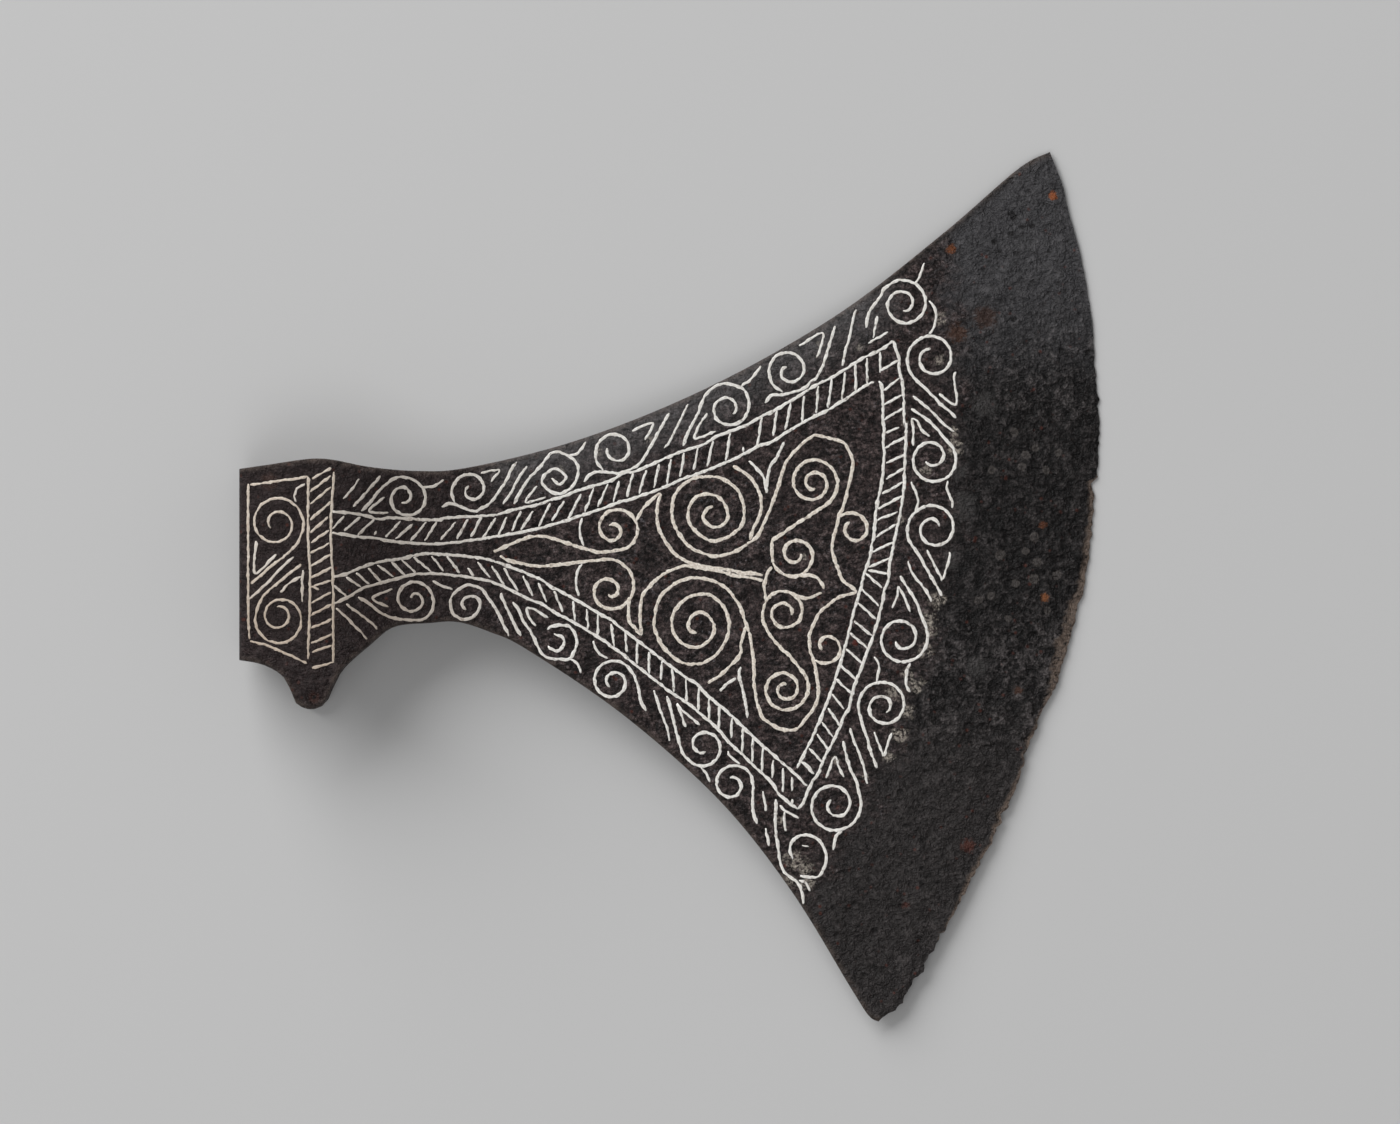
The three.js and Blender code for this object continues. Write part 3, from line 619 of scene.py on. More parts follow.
# %% Small round rings of painted sheen in the crescent
# Place in the drawing and radius in millimetres.
SHEEN_RINGS = [
    (1035, 537, 1.3), (1026, 551, 1.2), (1000, 555, 1.4), (1037, 562, 1.3), (1057, 575, 1.3),
    (1034, 579, 1.4), (1015, 583, 1.2), (1026, 455, 1.2), (1014, 432, 1.2), (1035, 448, 1.1),
    (1022, 467, 1.1), (1059, 453, 1.1), (978, 600, 1.2), (991, 596, 1.1), (1008, 618, 1.0),
    (1046, 470, 1.2), (992, 470, 1.2), (1048, 610, 1.0),
]
sheen_ring_grain = iron.grain(1.4, 2, 0.6, seed=15.0)
# Each ring is painted sheen, as light catches a small lump: lighter on the ring than in its middle.
for px, py, radius in SHEEN_RINGS:
    away = iron.from_point(px, py) + (sheen_ring_grain - 0.5) * 1.6
    sheen_ring = 1 - iron.between(away, radius * 0.75, radius)
    hollow = 1 - iron.between(away, 0.1, radius * 0.6)
    colour = iron.mix(sheen_ring * (0.62 - hollow * 0.35) * front, colour, SHEEN_RING_GREY)
FAINT_PATCHES = [(963, 505, 4.0), (950, 560, 3.0), (976, 666, 3.2), (985, 405, 3.5), (958, 470, 3.0)]
for px, py, radius in FAINT_PATCHES:
    colour = iron.mix(iron.patch(px, py, radius, dimples) * front * 0.45, colour, FAINT_GREY)

# %% Rust at its own places
# Place in the drawing, radius in millimetres, colour.
RUST_SPOTS = [
    (1053, 196, 1.3, (0.30, 0.085, 0.025)), (951, 249, 1.5, (0.20, 0.065, 0.022)),
    (1045, 598, 1.3, (0.24, 0.085, 0.030)), (1043, 525, 1.2, (0.13, 0.045, 0.02)),
    (968, 846, 2.2, (0.085, 0.028, 0.020)), (957, 333, 3.0, (0.075, 0.038, 0.026)),
    (985, 318, 3.6, (0.050, 0.028, 0.022)), (855, 643, 1.0, (0.11, 0.022, 0.015)),
    (1008, 845, 1.2, (0.08, 0.034, 0.022)), (905, 905, 1.2, (0.07, 0.024, 0.018)),
    (1018, 690, 1.4, (0.07, 0.034, 0.022)), (315, 697, 1.7, (0.045, 0.018, 0.013)),
    (315, 697, 0.8, (0.003, 0.002, 0.002)), (270, 482, 2.6, (0.055, 0.030, 0.024)),
]
for px, py, radius, rust in RUST_SPOTS:
    colour = iron.mix(iron.patch(px, py, radius, fine) * front * 0.9, colour, rust)

# %% Smears of worn silver
# Place in the drawing and radius in millimetres.
SMEARS = [
    (941, 320, 2.0), (955, 448, 2.6), (927, 618, 2.2), (925, 650, 2.4), (805, 867, 2.8), (895, 692, 2.6),
    (954, 432, 1.6), (907, 674, 1.8), (896, 734, 1.6), (803, 557, 1.2), (860, 348, 1.3), (835, 760, 1.4),
    (865, 777, 1.3), (904, 423, 1.2), (926, 470, 2.0), (937, 600, 2.4), (931, 630, 2.2), (915, 684, 2.6),
    (908, 712, 2.2), (901, 736, 2.4), (888, 756, 2.0), (795, 860, 3.0), (806, 882, 2.6), (790, 880, 2.2),
    (940, 360, 1.6), (900, 520, 1.4), (650, 440, 1.4), (560, 470, 1.4), (600, 452, 1.2), (820, 345, 1.4),
    (780, 820, 1.4),
]
scratched = iron.between(iron.grain(1.0, 3, 0.8, seed=21.0), 0.44, 0.58)
for px, py, radius in SMEARS:
    colour = iron.mix(iron.patch(px, py, radius, dimples) * scratched * front * 0.8, colour, SMEAR_SILVER)

# %% [markdown]
# The rims are lighter and brown, a grey band of painted sheen along the upper contour stands for light
# from above, a thin line of painted shade lies on a chamfer near the upper tip, and the edge has flaked
# along its lower half. The mesh itself carries these shares of wear, painted sheen and painted shade, in
# attributes that are written when the iron is dressed.

# %% Worn rims, painted sheen and painted shade
rim, broken, sheen, chamfer = [iron.worn(name) for name in ("rim", "broken", "sheen", "chamfer")]
# Painted sheen: a grey band along the upper contour, lighter where the streaks are, for light from above.
colour = iron.mix(sheen * (0.45 + light_streak_and_glint * 0.8), colour, PAINTED_SHEEN_GREY)
# Lighter brown along both rims.
colour = iron.mix(rim * iron.between(streaks, 0.34, 0.6) * 0.8, colour, RIM_BROWN)
colour = iron.mix(broken * iron.between(fine, 0.30, 0.55), colour, FLAKED_BROWN)
# Painted shade: a thin near-black line on a chamfer along the upper contour near the tip.
colour = iron.mix(chamfer * 0.9, colour, CHAMFER_SHADE_BLACK)

iron_rough = 0.48 + (dimples - 0.5) * 0.8 + (fine - 0.5) * 0.5
pitting = iron.between(iron.grain(0.9, 4, 0.7, iron.stretched(0.6, 1.3), seed=3.0), 0.34, 0.62)
surface = iron.bump(pitting * (1 - crescent * 0.45), 0.30, 1.0)
surface = iron.bump(dimples, 1.9, 1.0, surface)
surface = iron.bump(iron.grain(4.5, 3, 0.6, seed=4.0), 1.8, 1.0, surface)
surface = iron.bump(1 - pit, 0.45, 1.0, surface)
iron_material = iron.feed(Base_Color=colour, Roughness=iron_rough, Normal=surface)
iron.shader.inputs["Specular IOR Level"].default_value = 0.22

# %% [markdown]
# ## Silver
# The wire is warm white and softly polished, and warmer in the middle of the blade and on the socket. Its
# hollows and some short stretches have dulled to grey brown, most of all on the neck, and the hammer has
# left its top slightly uneven. The groove that holds it is shown by a thin seam of painted shade, a dark
# finish on its lips on both sides.

# %% The silver's finish
TARNISH, NECK_TARNISH = (0.16, 0.12, 0.10), (0.40, 0.30, 0.22)


def silver_finish(name, dull, bright, tarnished_share):
    finish = Finish(name, 0.4, 0.25)
    tarnish = finish.grain(1.6, 4, 0.65, seed=1.0)
    tone = finish.grain(0.6, 3, 0.65, seed=6.0)
    colour = finish.mix(finish.between(tone, 0.3, 0.7), dull, bright)
    limit = 0.72 - tarnished_share
    colour = finish.mix(finish.between(tarnish, limit, limit + 0.14) * 0.75, colour, TARNISH)
    across, along, _ = finish.xyz()
    neck = 1 - finish.between(across, 34, 84)
    low_side = 1 - finish.between(along, -14, 4)
    colour = finish.mix(neck * (0.42 + low_side * 0.26), colour, NECK_TARNISH)
    rough = 0.38 + tarnish * 0.25
    hammered = finish.bump(finish.grain(0.5, 3, 0.6, seed=7.0), 0.06, 0.7)
    return finish.feed(Base_Color=colour, Roughness=rough, Normal=hammered)


TARNISHED_SHARE = 0.15
silver = silver_finish("silver", (0.76, 0.72, 0.66), (1.0, 0.98, 0.94), TARNISHED_SHARE)
# The groove's shade is painted: a near-black finish for the wire's lips.
painted_groove_shade_finish = Finish("painted_groove_shade", 0.7, 0.0)
painted_groove_shade_finish.shader.inputs["Base Color"].default_value = (0.006, 0.0045, 0.0042, 1)
painted_groove_shade_finish.shader.inputs["Specular IOR Level"].default_value = 0.2
painted_groove_shade = painted_groove_shade_finish.material
warm_silver = silver_finish("warm_silver", (0.64, 0.55, 0.46), (0.98, 0.92, 0.83), TARNISHED_SHARE)

# %% [markdown]
# ## Dress the iron
# For each vertex, NumPy works out how near it is to a rim or to the worn edge. Those shares of wear,
# painted sheen and painted shade go into the mesh as attributes, which the finish reads. Then the iron
# gets its finish, and it stands in for the plain solid.

# %% Wear, painted sheen and painted shade, written into the mesh
RIM_REACH, PAINTED_SHEEN_REACH, CHAMFER_SHADE_REACH = 1.6, 13, 0.7  # millimetres
# Where the painted sheen lies along the upper contour, in the drawing.
PAINTED_SHEEN_FROM_PX, PAINTED_SHEEN_TO_PX = 520, 860
# Where the line of painted shade on the chamfer lies along the upper contour, in the drawing.
CHAMFER_SHADE_FROM_PX, CHAMFER_SHADE_TO_PX = 872, 1010
CHAMFER_SHADE_INWARD_PX = [2, 3]


def close_to(line, points, reach):
    """For each point, 1 on the line down to 0 at reach, in millimetres."""
    return np.clip(1 - distance_to(line, points) / reach, 0, 1)


back_to_drawing = lie.inverted()
places = np.array([tuple((back_to_drawing @ v.co)[:2]) for v in head.data.vertices])
heights_px = HAFT_PX - places[:, 1] * PX_PER_MM
flaked = np.interp(heights_px, *np.array(FLAKED_WIDTH).T) * (1 + 0.5 * ragged(heights_px / PX_PER_MM, 31, 3))
upper_line = smooth_line(UPPER_CONTOUR, 2)


def upper_between(low, high):
    """The stretch of the upper contour between two places along the drawing."""
    return upper_line[(upper_line[:, 0] > low) & (upper_line[:, 0] < high)]


both_contours = np.vstack([upper_line, smooth_line(LOWER_CONTOUR, 2)])
chamfer_shade_line = upper_between(CHAMFER_SHADE_FROM_PX, CHAMFER_SHADE_TO_PX) + CHAMFER_SHADE_INWARD_PX
wear_and_painted_light = {
    "rim": close_to(on_axe(both_contours), places, RIM_REACH),
    "sheen": close_to(on_axe(upper_between(PAINTED_SHEEN_FROM_PX, PAINTED_SHEEN_TO_PX)), places, PAINTED_SHEEN_REACH),
    "chamfer": close_to(on_axe(chamfer_shade_line), places, CHAMFER_SHADE_REACH),
    "broken": np.clip((flaked - from_edge(places)) / 0.5 + 0.5, 0, 1) * (flaked > 0.2),
}
for name, values in wear_and_painted_light.items():
    layer = head.data.attributes.new(name, "FLOAT", "POINT")
    layer.data.foreach_set("value", np.array(values, np.float32))
head.data.materials.clear()
head.data.materials.append(iron_material)
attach(head, "root")
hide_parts("axe_head")
print("wear, mean shares:", {name: round(float(np.mean(v)), 3) for name, v in wear_and_painted_light.items()})

# %% [markdown]
# ## Silver wire
# Each line of the ornament is a thin silver wire, hammered into a groove until it is almost flush. A wire
# is made as the iron is: a narrow grid, rolled round its path into a closed strip with a crowned top and
# a lip on both sides, which carries the groove's painted shade. The paths are the strokes of the drawing.
# Curls are worked out from a centre, two radii and a turn, and the rest go smoothly through a few points.

# %% One wire
WIRE_PROUD = 0.10  # millimetres above the iron, at the middle of the wire
WIRE_SUNK = 0.45
# Round the wire: how far to the side, as a share of half its width, and how high, as a share of its crown.
WIRE_TOP = [(-1, 0.2), (-0.62, 0.8), (0, 1), (0.62, 0.8), (1, 0.2)]
# Beside the wire, the groove's lip, which carries the groove's painted shade: how far out and how high, in
# millimetres.
LIP = [(0.17, -0.05), (0.03, 0.04)]
LIP_STRIPS = [0, 1, 6, 7]  # which of the strips round the wire are its lips
# How uneven the hammer left it: in width, as a share, in long and short waves, and in its path.
WIDTH_WAVES = (0.45, 0.35)
PATH_WAVE = 0.16


def curl(x, y, outer, inner, start, sweep, drift_x=0, drift_y=0):
    """A curl from the outside in, in degrees, clockwise in the drawing; its centre drifts on the way."""
    t = np.linspace(0, 1, max(6, round(abs(sweep) / 18)))
    angle = np.radians(start + sweep * t)
    radius = outer + (inner - outer) * t
    return np.stack([x + drift_x * t + radius * np.cos(angle), y + drift_y * t + radius * np.sin(angle)], 1)


def add_wire(bm, points, width, seed):
    """One closed wire along a stroke, a little uneven, as a hammered wire is."""
    line = on_axe(smooth_line(points, 2.0))
    ahead = np.gradient(line, axis=0)
    ahead /= np.linalg.norm(ahead, axis=1)[:, None]
    side = ahead[:, ::-1] * [-1, 1]
    run = np.concatenate([[0], np.cumsum(np.linalg.norm(np.diff(line, axis=0), axis=1))])
    to_end = np.minimum(run, run[-1] - run)
    taper = 0.45 + 0.55 * np.sqrt(np.clip(to_end / 0.9, 0, 1))
    uneven = 1 + WIDTH_WAVES[0] * ragged(run, seed, 2.0) + WIDTH_WAVES[1] * ragged(run, seed + 0.5, 0.9)
    half = width / 2 * taper * uneven
    line = line + side * (PATH_WAVE * ragged(run, seed + 0.3, 1.5))[:, None]
    section = [(-half - out, height) for out, height in LIP]
    section += [(half * share, WIRE_PROUD * height * taper) for share, height in WIRE_TOP]
    section += [(half + out, height) for out, height in LIP[::-1]]
    rings = []
    for offset, height in section:
        place = line + side * offset[:, None]
        z = half_thickness(place[:, 0]) + relief(*place.T) + height
        rings.append(np.column_stack([place, z]))
    under = [ring + [0, 0, -WIRE_SUNK] for ring in (rings[-1], rings[0])]
    roll(bm, list(np.stack([*rings, *under], axis=1)), second_finish=LIP_STRIPS)


def wires(name, strokes, finish, *stands_for):
    """A set of wires, each with its path and width, as one piece that stands for the plain solids."""
    bm = bmesh.new()
    for number, (points, width) in enumerate(strokes):
        add_wire(bm, np.asarray(points, float), width, 10 * number + len(name))
    bmesh.ops.remove_doubles(bm, verts=bm.verts, dist=0.0005 * MM)
    bmesh.ops.holes_fill(bm, edges=bm.edges, sides=len(WIRE_TOP) + 2 * len(LIP) + 2)
    bmesh.ops.recalc_face_normals(bm, faces=bm.faces)
    made = new_object(name, bm)
    made.data.shade_smooth()
    made.data.materials.append(finish)
    made.data.materials.append(painted_groove_shade)
    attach(made, "root")
    if stands_for:
        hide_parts(*stands_for)


# %% [markdown]
# ## The drawing
# A plant with curls stands in the middle, inside a heart-shaped wire. Twisted borders frame it, and small
# scrolls run along outside them. The names are those of the plain solids that these wires replace. Each
# stroke is a list of places in the drawing, and a star puts a curl's own places into it.

# %% The drawing of the scrolls
# Widths of the wires, in millimetres.
CENTRE_WIDTH = 0.80
RAIL_WIDTH = 0.72
SOCKET_WIDTH = 0.60
SCROLL_WIDTH = 0.72
THIN_WIDTH = 0.60
WIRE_STROKES = {
    "border_socket": [
        [(251, 485), (309, 477)],
        [(249, 484), (249, 584), (250, 639)],
        [(251, 641), (270, 646), (308, 663)],
        [(309, 477), (309, 533), (311, 582), (309, 659)],
        [(335, 472), (332, 517), (332, 549), (334, 585), (334, 662)],
    ],
    "border_upper": [
        [(333, 512), (350, 513), (363, 515), (379, 519), (394, 518), (436, 520), (447, 518), (484, 516),
         (500, 514), (513, 510), (540, 504), (550, 500), (562, 497), (576, 491), (609, 481), (627, 472),
         (636, 471), (680, 452), (702, 445), (720, 435), (747, 425), (762, 416), (779, 408), (818, 384),
         (831, 378), (863, 358), (880, 350), (893, 341)],
        [(333, 533), (343, 534), (358, 537), (377, 538), (391, 541), (436, 544), (480, 539), (540, 528),
         (598, 510), (617, 503), (638, 497), (667, 486), (680, 480), (718, 466), (746, 453), (758, 446),
         (773, 441), (800, 424), (822, 413), (844, 400), (863, 387), (874, 382)],
    ],
    "border_lower": [
        [(334, 577), (347, 574), (358, 569), (379, 562), (400, 559), (421, 554), (436, 554), (480, 558),
         (502, 564), (540, 579), (551, 587), (564, 593), (604, 616), (620, 627), (680, 673), (698, 685),
         (707, 695), (732, 716), (752, 736), (794, 773), (807, 786)],
        [(333, 604), (351, 596), (362, 589), (373, 585), (411, 575), (424, 574), (439, 574), (489, 581),
         (529, 599), (540, 603), (558, 614), (582, 627), (614, 648), (664, 687), (691, 706), (718, 729),
         (729, 742), (770, 781), (777, 791), (783, 798), (798, 809)],
    ],
    "border_side": [
        [(879, 381), (882, 389), (883, 420), (884, 431), (883, 442), (884, 453), (882, 479), (876, 511),
         (874, 534), (872, 544), (869, 559), (862, 581), (861, 588), (854, 610), (844, 650), (830, 694),
         (814, 733), (797, 768)],
        [(893, 341), (899, 359), (899, 369), (903, 389), (904, 422), (906, 428), (904, 482), (903, 493),
         (900, 514), (890, 562), (888, 581), (884, 590), (883, 599), (874, 633), (854, 687), (849, 707),
         (843, 718), (839, 729), (822, 763), (819, 772), (812, 782), (807, 793), (804, 801), (798, 809)],
    ],
    "stem_scrolls": [
        [(494, 552), (516, 542), (527, 538), (537, 536), (551, 538), (593, 551), (604, 552),
         *curl(617.5, 526.4, 24.4, 4.4, 94, -564, -6.9, 3.4)],
        [(500, 556), (508, 560), (519, 563), (540, 566), (580, 562),
         *curl(609.7, 587, 28.9, 1.3, -112, 612, 0.5, 6.3)],
        [(636, 521), (643, 509), (650, 501), (660, 494), (658, 503), (657, 517), (659, 529), (666, 542),
         (674, 553), (686, 561), (698, 565), (729, 570), (742, 573), (751, 573), (763, 575)],
        [(629, 597), (629, 619), (634, 627), (641, 634), (640, 620), (642, 597), (649, 587), (658, 578),
         (669, 571), (680, 567), (688, 566), (718, 571), (736, 576), (749, 577), (763, 581)],
        [(772, 567), (768, 571), (766, 579), (764, 586), (766, 600)],
        [(773, 563), (772, 554), (772, 547), (773, 540), (782, 534), (792, 527),
         *curl(812.1, 481.6, 27, 4.3, 60, -709, 1.8, 2.7)],
        [*curl(794.6, 556.1, 22.8, 5.2, 162, -519, 1.1, -2.5)],
        [(799, 576), (809, 575), (817, 578), (822, 584), (824, 589)],
        [(822, 593), (808, 598), (800, 597), (794, 594)],
        [*curl(784.8, 610.3, 21.4, 7.9, -157, 522, -0.8, 4.2)],
        [(766, 602), (763, 610), (763, 619), (766, 628), (772, 638), (781, 648), (790, 656),
         *curl(784.2, 688.6, 25.3, 4.2, -51, 698, 0.9, 0.3)],
    ],
    "heart_scroll": [
        [(747, 544), (736, 551), (724, 555), (714, 556), (702, 553), (689, 546), (679, 534), (673, 522),
         (672, 510), (674, 497), (681, 487), (692, 479), (702, 477), (716, 477), (728, 482), (738, 491),
         (743, 503), (744, 516), (741, 526), (733, 534), (723, 539), (712, 541), (701, 536), (692, 527),
         (688, 514), (691, 503), (698, 496), (708, 494), (718, 497), (724, 503), (728, 513), (727, 520),
         (721, 526), (712, 527), (706, 522), (703, 516), (707, 509), (713, 506)],
        [(747, 544), (754, 539), (760, 532), (774, 498), (784, 467), (789, 458), (796, 450), (811, 437),
         (819, 436), (840, 441), (847, 447), (851, 456), (853, 464), (849, 484), (843, 507), (839, 516),
         (836, 528), (832, 548), (837, 567), (840, 574), (844, 582), (856, 591), (851, 594), (842, 596),
         (836, 599), (827, 606), (820, 612), (811, 630), (809, 638), (810, 651), (814, 662), (818, 697),
         (804, 721), (798, 728), (791, 730), (783, 729), (776, 727), (764, 719), (759, 709), (756, 698),
         (754, 684), (754, 671), (753, 657), (749, 632)],
        [(749, 632), (743, 615), (738, 603), (729, 591), (718, 583), (706, 579), (691, 578), (678, 582),
         (668, 589), (659, 599), (654, 622), (656, 633), (662, 645), (671, 655), (681, 662), (692, 664),
         (703, 663), (713, 657), (722, 647), (728, 635), (729, 622), (727, 613), (721, 603), (712, 596),
         (703, 594), (691, 596), (682, 602), (674, 612), (672, 622), (674, 633), (681, 642), (691, 647),
         (701, 646), (710, 639), (714, 631), (713, 623), (707, 615), (699, 612), (692, 616), (688, 624),
         (691, 631), (697, 633)],
        [(733, 466), (742, 471), (751, 478), (757, 488), (761, 499), (761, 510), (758, 519), (753, 529),
         (750, 540)],
        [(708, 683), (720, 675), (732, 664), (740, 654), (741, 644), (746, 626)],
        [*curl(851.5, 532.3, 20.2, 5.2, -128, 362, 1.4, -6.2)],
        [*curl(826.6, 648.1, 16.6, 6.9, 134, -347, 1.5, -2)],
    ],
    "scroll_socket_upper": [
        [(252, 584), (270, 568), (287, 555), (296, 546), (302, 535),
         *curl(276.3, 523, 28.1, 7.8, 2, -572, 2.1, 1.3)],
    ],
    "scroll_socket_lower": [
        [(302, 564), (271, 589), (264, 596), (261, 601),
         *curl(282.5, 620.7, 27, 6.2, -152, -675, -3, -7.8)],
    ],
    "scroll_leaf_upper": [
        [(749, 461), (758, 470), (764, 479), (767, 493)],
        [(784, 442), (776, 459), (771, 464), (767, 479), (767, 493)],
    ],
    "scroll_leaf_lower": [
        [(741, 667), (739, 675), (746, 704), (747, 718)],
        [(736, 678), (727, 684), (720, 691)],
    ],
    "scroll_upper_1": [
        [(362, 511), (371, 503), (378, 493), (387, 484), (396, 478), (403, 477), (412, 479),
         *curl(407.7, 500.2, 19.9, 5.6, -51, 497, -6.1, -2.7)],
    ],
    "scroll_upper_2": [
        [(442, 507), (452, 504), (472, 511), (480, 509), (491, 502), (506, 481), (511, 470), (517, 462)],
        [*curl(470.8, 490.6, 20.1, 4.6, 142, 443, 1.4, -1.4)],
    ],
    "scroll_upper_3": [
        [(514, 504), (528, 480), (540, 467), (550, 454), (557, 452), (562, 453), (573, 459), (578, 467),
         (577, 478), (571, 488), (562, 493), (554, 493), (546, 488), (542, 481), (547, 473), (554, 469),
         (561, 471), (566, 477), (562, 483), (558, 484), (552, 478)],
    ],
    "scroll_upper_4": [
        [(584, 482), (589, 476), (598, 472), (620, 473), (631, 469), (640, 463), (648, 451), (669, 413)],
        [*curl(615, 452.8, 21.2, 8.4, 123, 418, 0.2, -4.5)],
    ],
    "scroll_upper_5": [
        [(683, 446), (689, 431), (698, 413), (702, 402), (707, 393), (718, 385), (729, 384),
         *curl(727.9, 406.2, 22.8, 5.8, -49, 452, 0.6, 3.7)],
    ],
    "scroll_upper_6": [
        [(765, 403), (769, 398), (773, 395), (782, 395), (800, 390), (807, 386), (810, 382), (816, 378),
         (820, 371), (824, 362), (835, 326)],
        [*curl(790.2, 369.6, 23.7, 4.8, 108, 503, -1.7, 2.2)],
    ],
    "scroll_upper_7": [
        [(866, 328), (867, 322), (870, 311), (880, 297), (884, 289), (892, 283), (898, 280),
         *curl(904.2, 304.8, 24.4, 6.9, -90, 535, -1.7, -0.9)],
    ],
    "scroll_edge_1": [
        [(956, 418), (950, 412), (940, 404), (936, 399),
         *curl(932.8, 358.5, 27.2, 9.1, 128, 497, -1.1, -0.6)],
    ],
    "scroll_edge_2": [
        [(911, 409), (918, 413), (931, 423), *curl(931.9, 462, 25.1, 8.6, -41, 527, -1.5, -7.1)],
    ],
    "scroll_edge_3": [
        [(942, 596), (918, 554), (911, 544), *curl(933.9, 528.9, 27.2, 6.7, 163, 538, -0.9, -0.3)],
    ],
    "scroll_edge_4": [
        [(900, 576), (911, 593), (917, 604), *curl(900.7, 638.2, 27.8, 8.2, -32, 545, 1.7, -0.3)],
        [(910, 663), (907, 669), (906, 677), (906, 684), (908, 689), (910, 692)],
    ],
    "scroll_edge_5": [
        [(877, 768), (870, 750), (867, 737), (863, 728),
         *curl(884.6, 704.7, 27.1, 6, 151, 621, -2.2, 3.3)],
    ],
    "scroll_edge_6": [
        [(843, 741), (848, 762), (852, 773), (857, 782), *curl(832, 805, 29.7, 6.8, -28, 608, 4.2, -1.2)],
        [(842, 831), (836, 836), (833, 850)],
    ],
    "scroll_lower_1": [
        [(359, 597), (370, 604), (380, 612), (391, 617), (400, 619), (417, 620), (424, 619),
         *curl(412.6, 600.4, 22.2, 2.7, 34, -561, 2.1, -1.7)],
    ],
    "scroll_lower_2": [
        [(521, 636), (504, 602), (501, 593)],
        [(509, 636), (497, 611), (490, 600), (482, 589), (474, 586), (468, 585), (459, 589), (452, 596),
         (451, 606), (454, 614), (462, 619), (471, 618), (478, 612), (480, 604), (477, 598), (471, 596),
         (465, 598), (462, 604), (466, 610)],
    ],
    "scroll_lower_3": [
        [(513, 602), (519, 611), (523, 621), (531, 632), (541, 652), (549, 658), (559, 659), (569, 659),
         (574, 652), (577, 642), (574, 632), (568, 626), (559, 625), (550, 627), (548, 630)],
        [(554, 634), (561, 636), (564, 641), (562, 648), (557, 651), (550, 648), (548, 646)],
    ],
    "scroll_lower_4": [
        [(646, 711), (641, 700), (638, 686), (632, 672),
         *curl(611.7, 681, 21.2, 5.8, -54, -535, 2.1, 1.5)],
    ],
    "scroll_lower_5": [[(667, 696), (681, 748), *curl(704.5, 748.1, 19.8, 8.2, 147, -433, -0.9, -4.3)]],
    "scroll_lower_6": [
        [(757, 824), (753, 808), (753, 788), (752, 779),
         *curl(732.7, 783.5, 19.8, 7, -35, -420, -2.2, 1.1)],
    ],
    "scroll_lower_7": [
        [(776, 799), (775, 822), (778, 847), (783, 870), (797, 882), (801, 890), (803, 898), (803, 904)],
        [(793, 859), (790, 852), (792, 841), (799, 836), (808, 835), (817, 839), (822, 844), (826, 854),
         (826, 862), (822, 871), (817, 877), (808, 877), (800, 876)],
    ],
}

# %% The short strokes between the scrolls
SMALL_STROKES = [
    [(582, 518), (580, 528), (581, 538), (584, 546)],
    [(582, 564), (578, 570), (576, 580), (577, 589), (579, 596)],
    [(297, 502), (295, 496), (298, 489), (306, 484)],
    [(257, 541), (256, 573), (277, 554)],
    [(295, 557), (284, 566), (267, 584), (250, 599)],
    [(281, 592), (284, 590), (289, 584), (302, 576)],
    [(304, 570), (303, 580), (303, 602)],
    [(360, 479), (354, 488), (344, 499)],
    [(381, 476), (354, 507)],
    [(422, 487), (431, 487), (438, 484), (444, 480)],
    [(385, 497), (370, 511), (389, 513)],
    [(481, 473), (499, 470), (491, 482)],
    [(527, 466), (517, 481), (511, 493), (503, 504)],
    [(569, 456), (578, 453), (586, 442)],
    [(537, 486), (526, 502), (546, 497)],
    [(632, 431), (653, 423), (645, 440)],
    [(688, 404), (671, 439), (664, 448)],
    [(741, 386), (751, 379), (761, 366)],
    [(707, 413), (694, 438), (716, 431)],
    [(799, 346), (822, 333), (820, 350), (816, 358)],
    [(857, 310), (854, 314), (849, 339), (846, 348), (842, 366)],
    [(877, 316), (873, 338)],
    [(868, 343), (888, 332)],
    [(924, 263), (919, 278), (913, 284)],
    [(929, 301), (932, 304), (935, 310), (936, 317), (933, 329), (929, 334)],
    [(956, 372), (954, 377), (956, 404), (939, 394)],
    [(913, 396), (932, 412), (946, 426), (954, 432)],
    [(913, 446), (913, 427), (912, 419), (917, 421), (920, 428), (924, 432), (930, 436)],
    [(948, 481), (947, 489), (952, 502), (952, 508)],
    [(911, 482), (917, 496), (918, 502), (916, 510), (912, 516)],
    [(927, 550), (940, 576), (943, 578), (949, 560), (950, 552)],
    [(908, 561), (913, 574), (927, 592), (931, 602)],
    [(892, 608), (897, 596), (898, 587), (903, 594), (910, 612)],
    [(874, 657), (878, 662), (879, 669), (876, 682)],
    [(874, 732), (882, 752), (884, 755), (889, 739), (892, 733)],
    [(850, 728), (852, 736), (861, 758), (864, 768), (867, 784)],
    [(826, 778), (833, 760), (836, 757), (839, 767), (844, 777)],
    [(337, 608), (347, 617), (368, 639)],
    [(347, 604), (371, 622), (378, 629)],
    [(393, 589), (373, 598), (389, 607)],
    [(433, 581), (442, 586), (453, 589)],
    [(570, 659), (577, 663), (581, 673)],
    [(548, 618), (536, 610), (527, 608), (529, 617), (536, 626)],
    [(593, 641), (596, 649), (600, 654), (608, 658)],
    [(654, 690), (659, 707), (668, 731), (669, 741)],
    [(701, 767), (706, 773), (710, 782)],
    [(686, 727), (677, 704), (680, 708), (700, 725)],
    [(728, 751), (730, 756), (740, 764)],
    [(766, 828), (767, 837), (769, 846)],
    [(763, 791), (766, 811)],
    [(802, 845), (809, 846)],
    [(799, 880), (806, 883), (810, 891)],
    [(780, 805), (784, 810), (799, 818)],
    [(784, 812), (784, 822), (786, 831)],
]

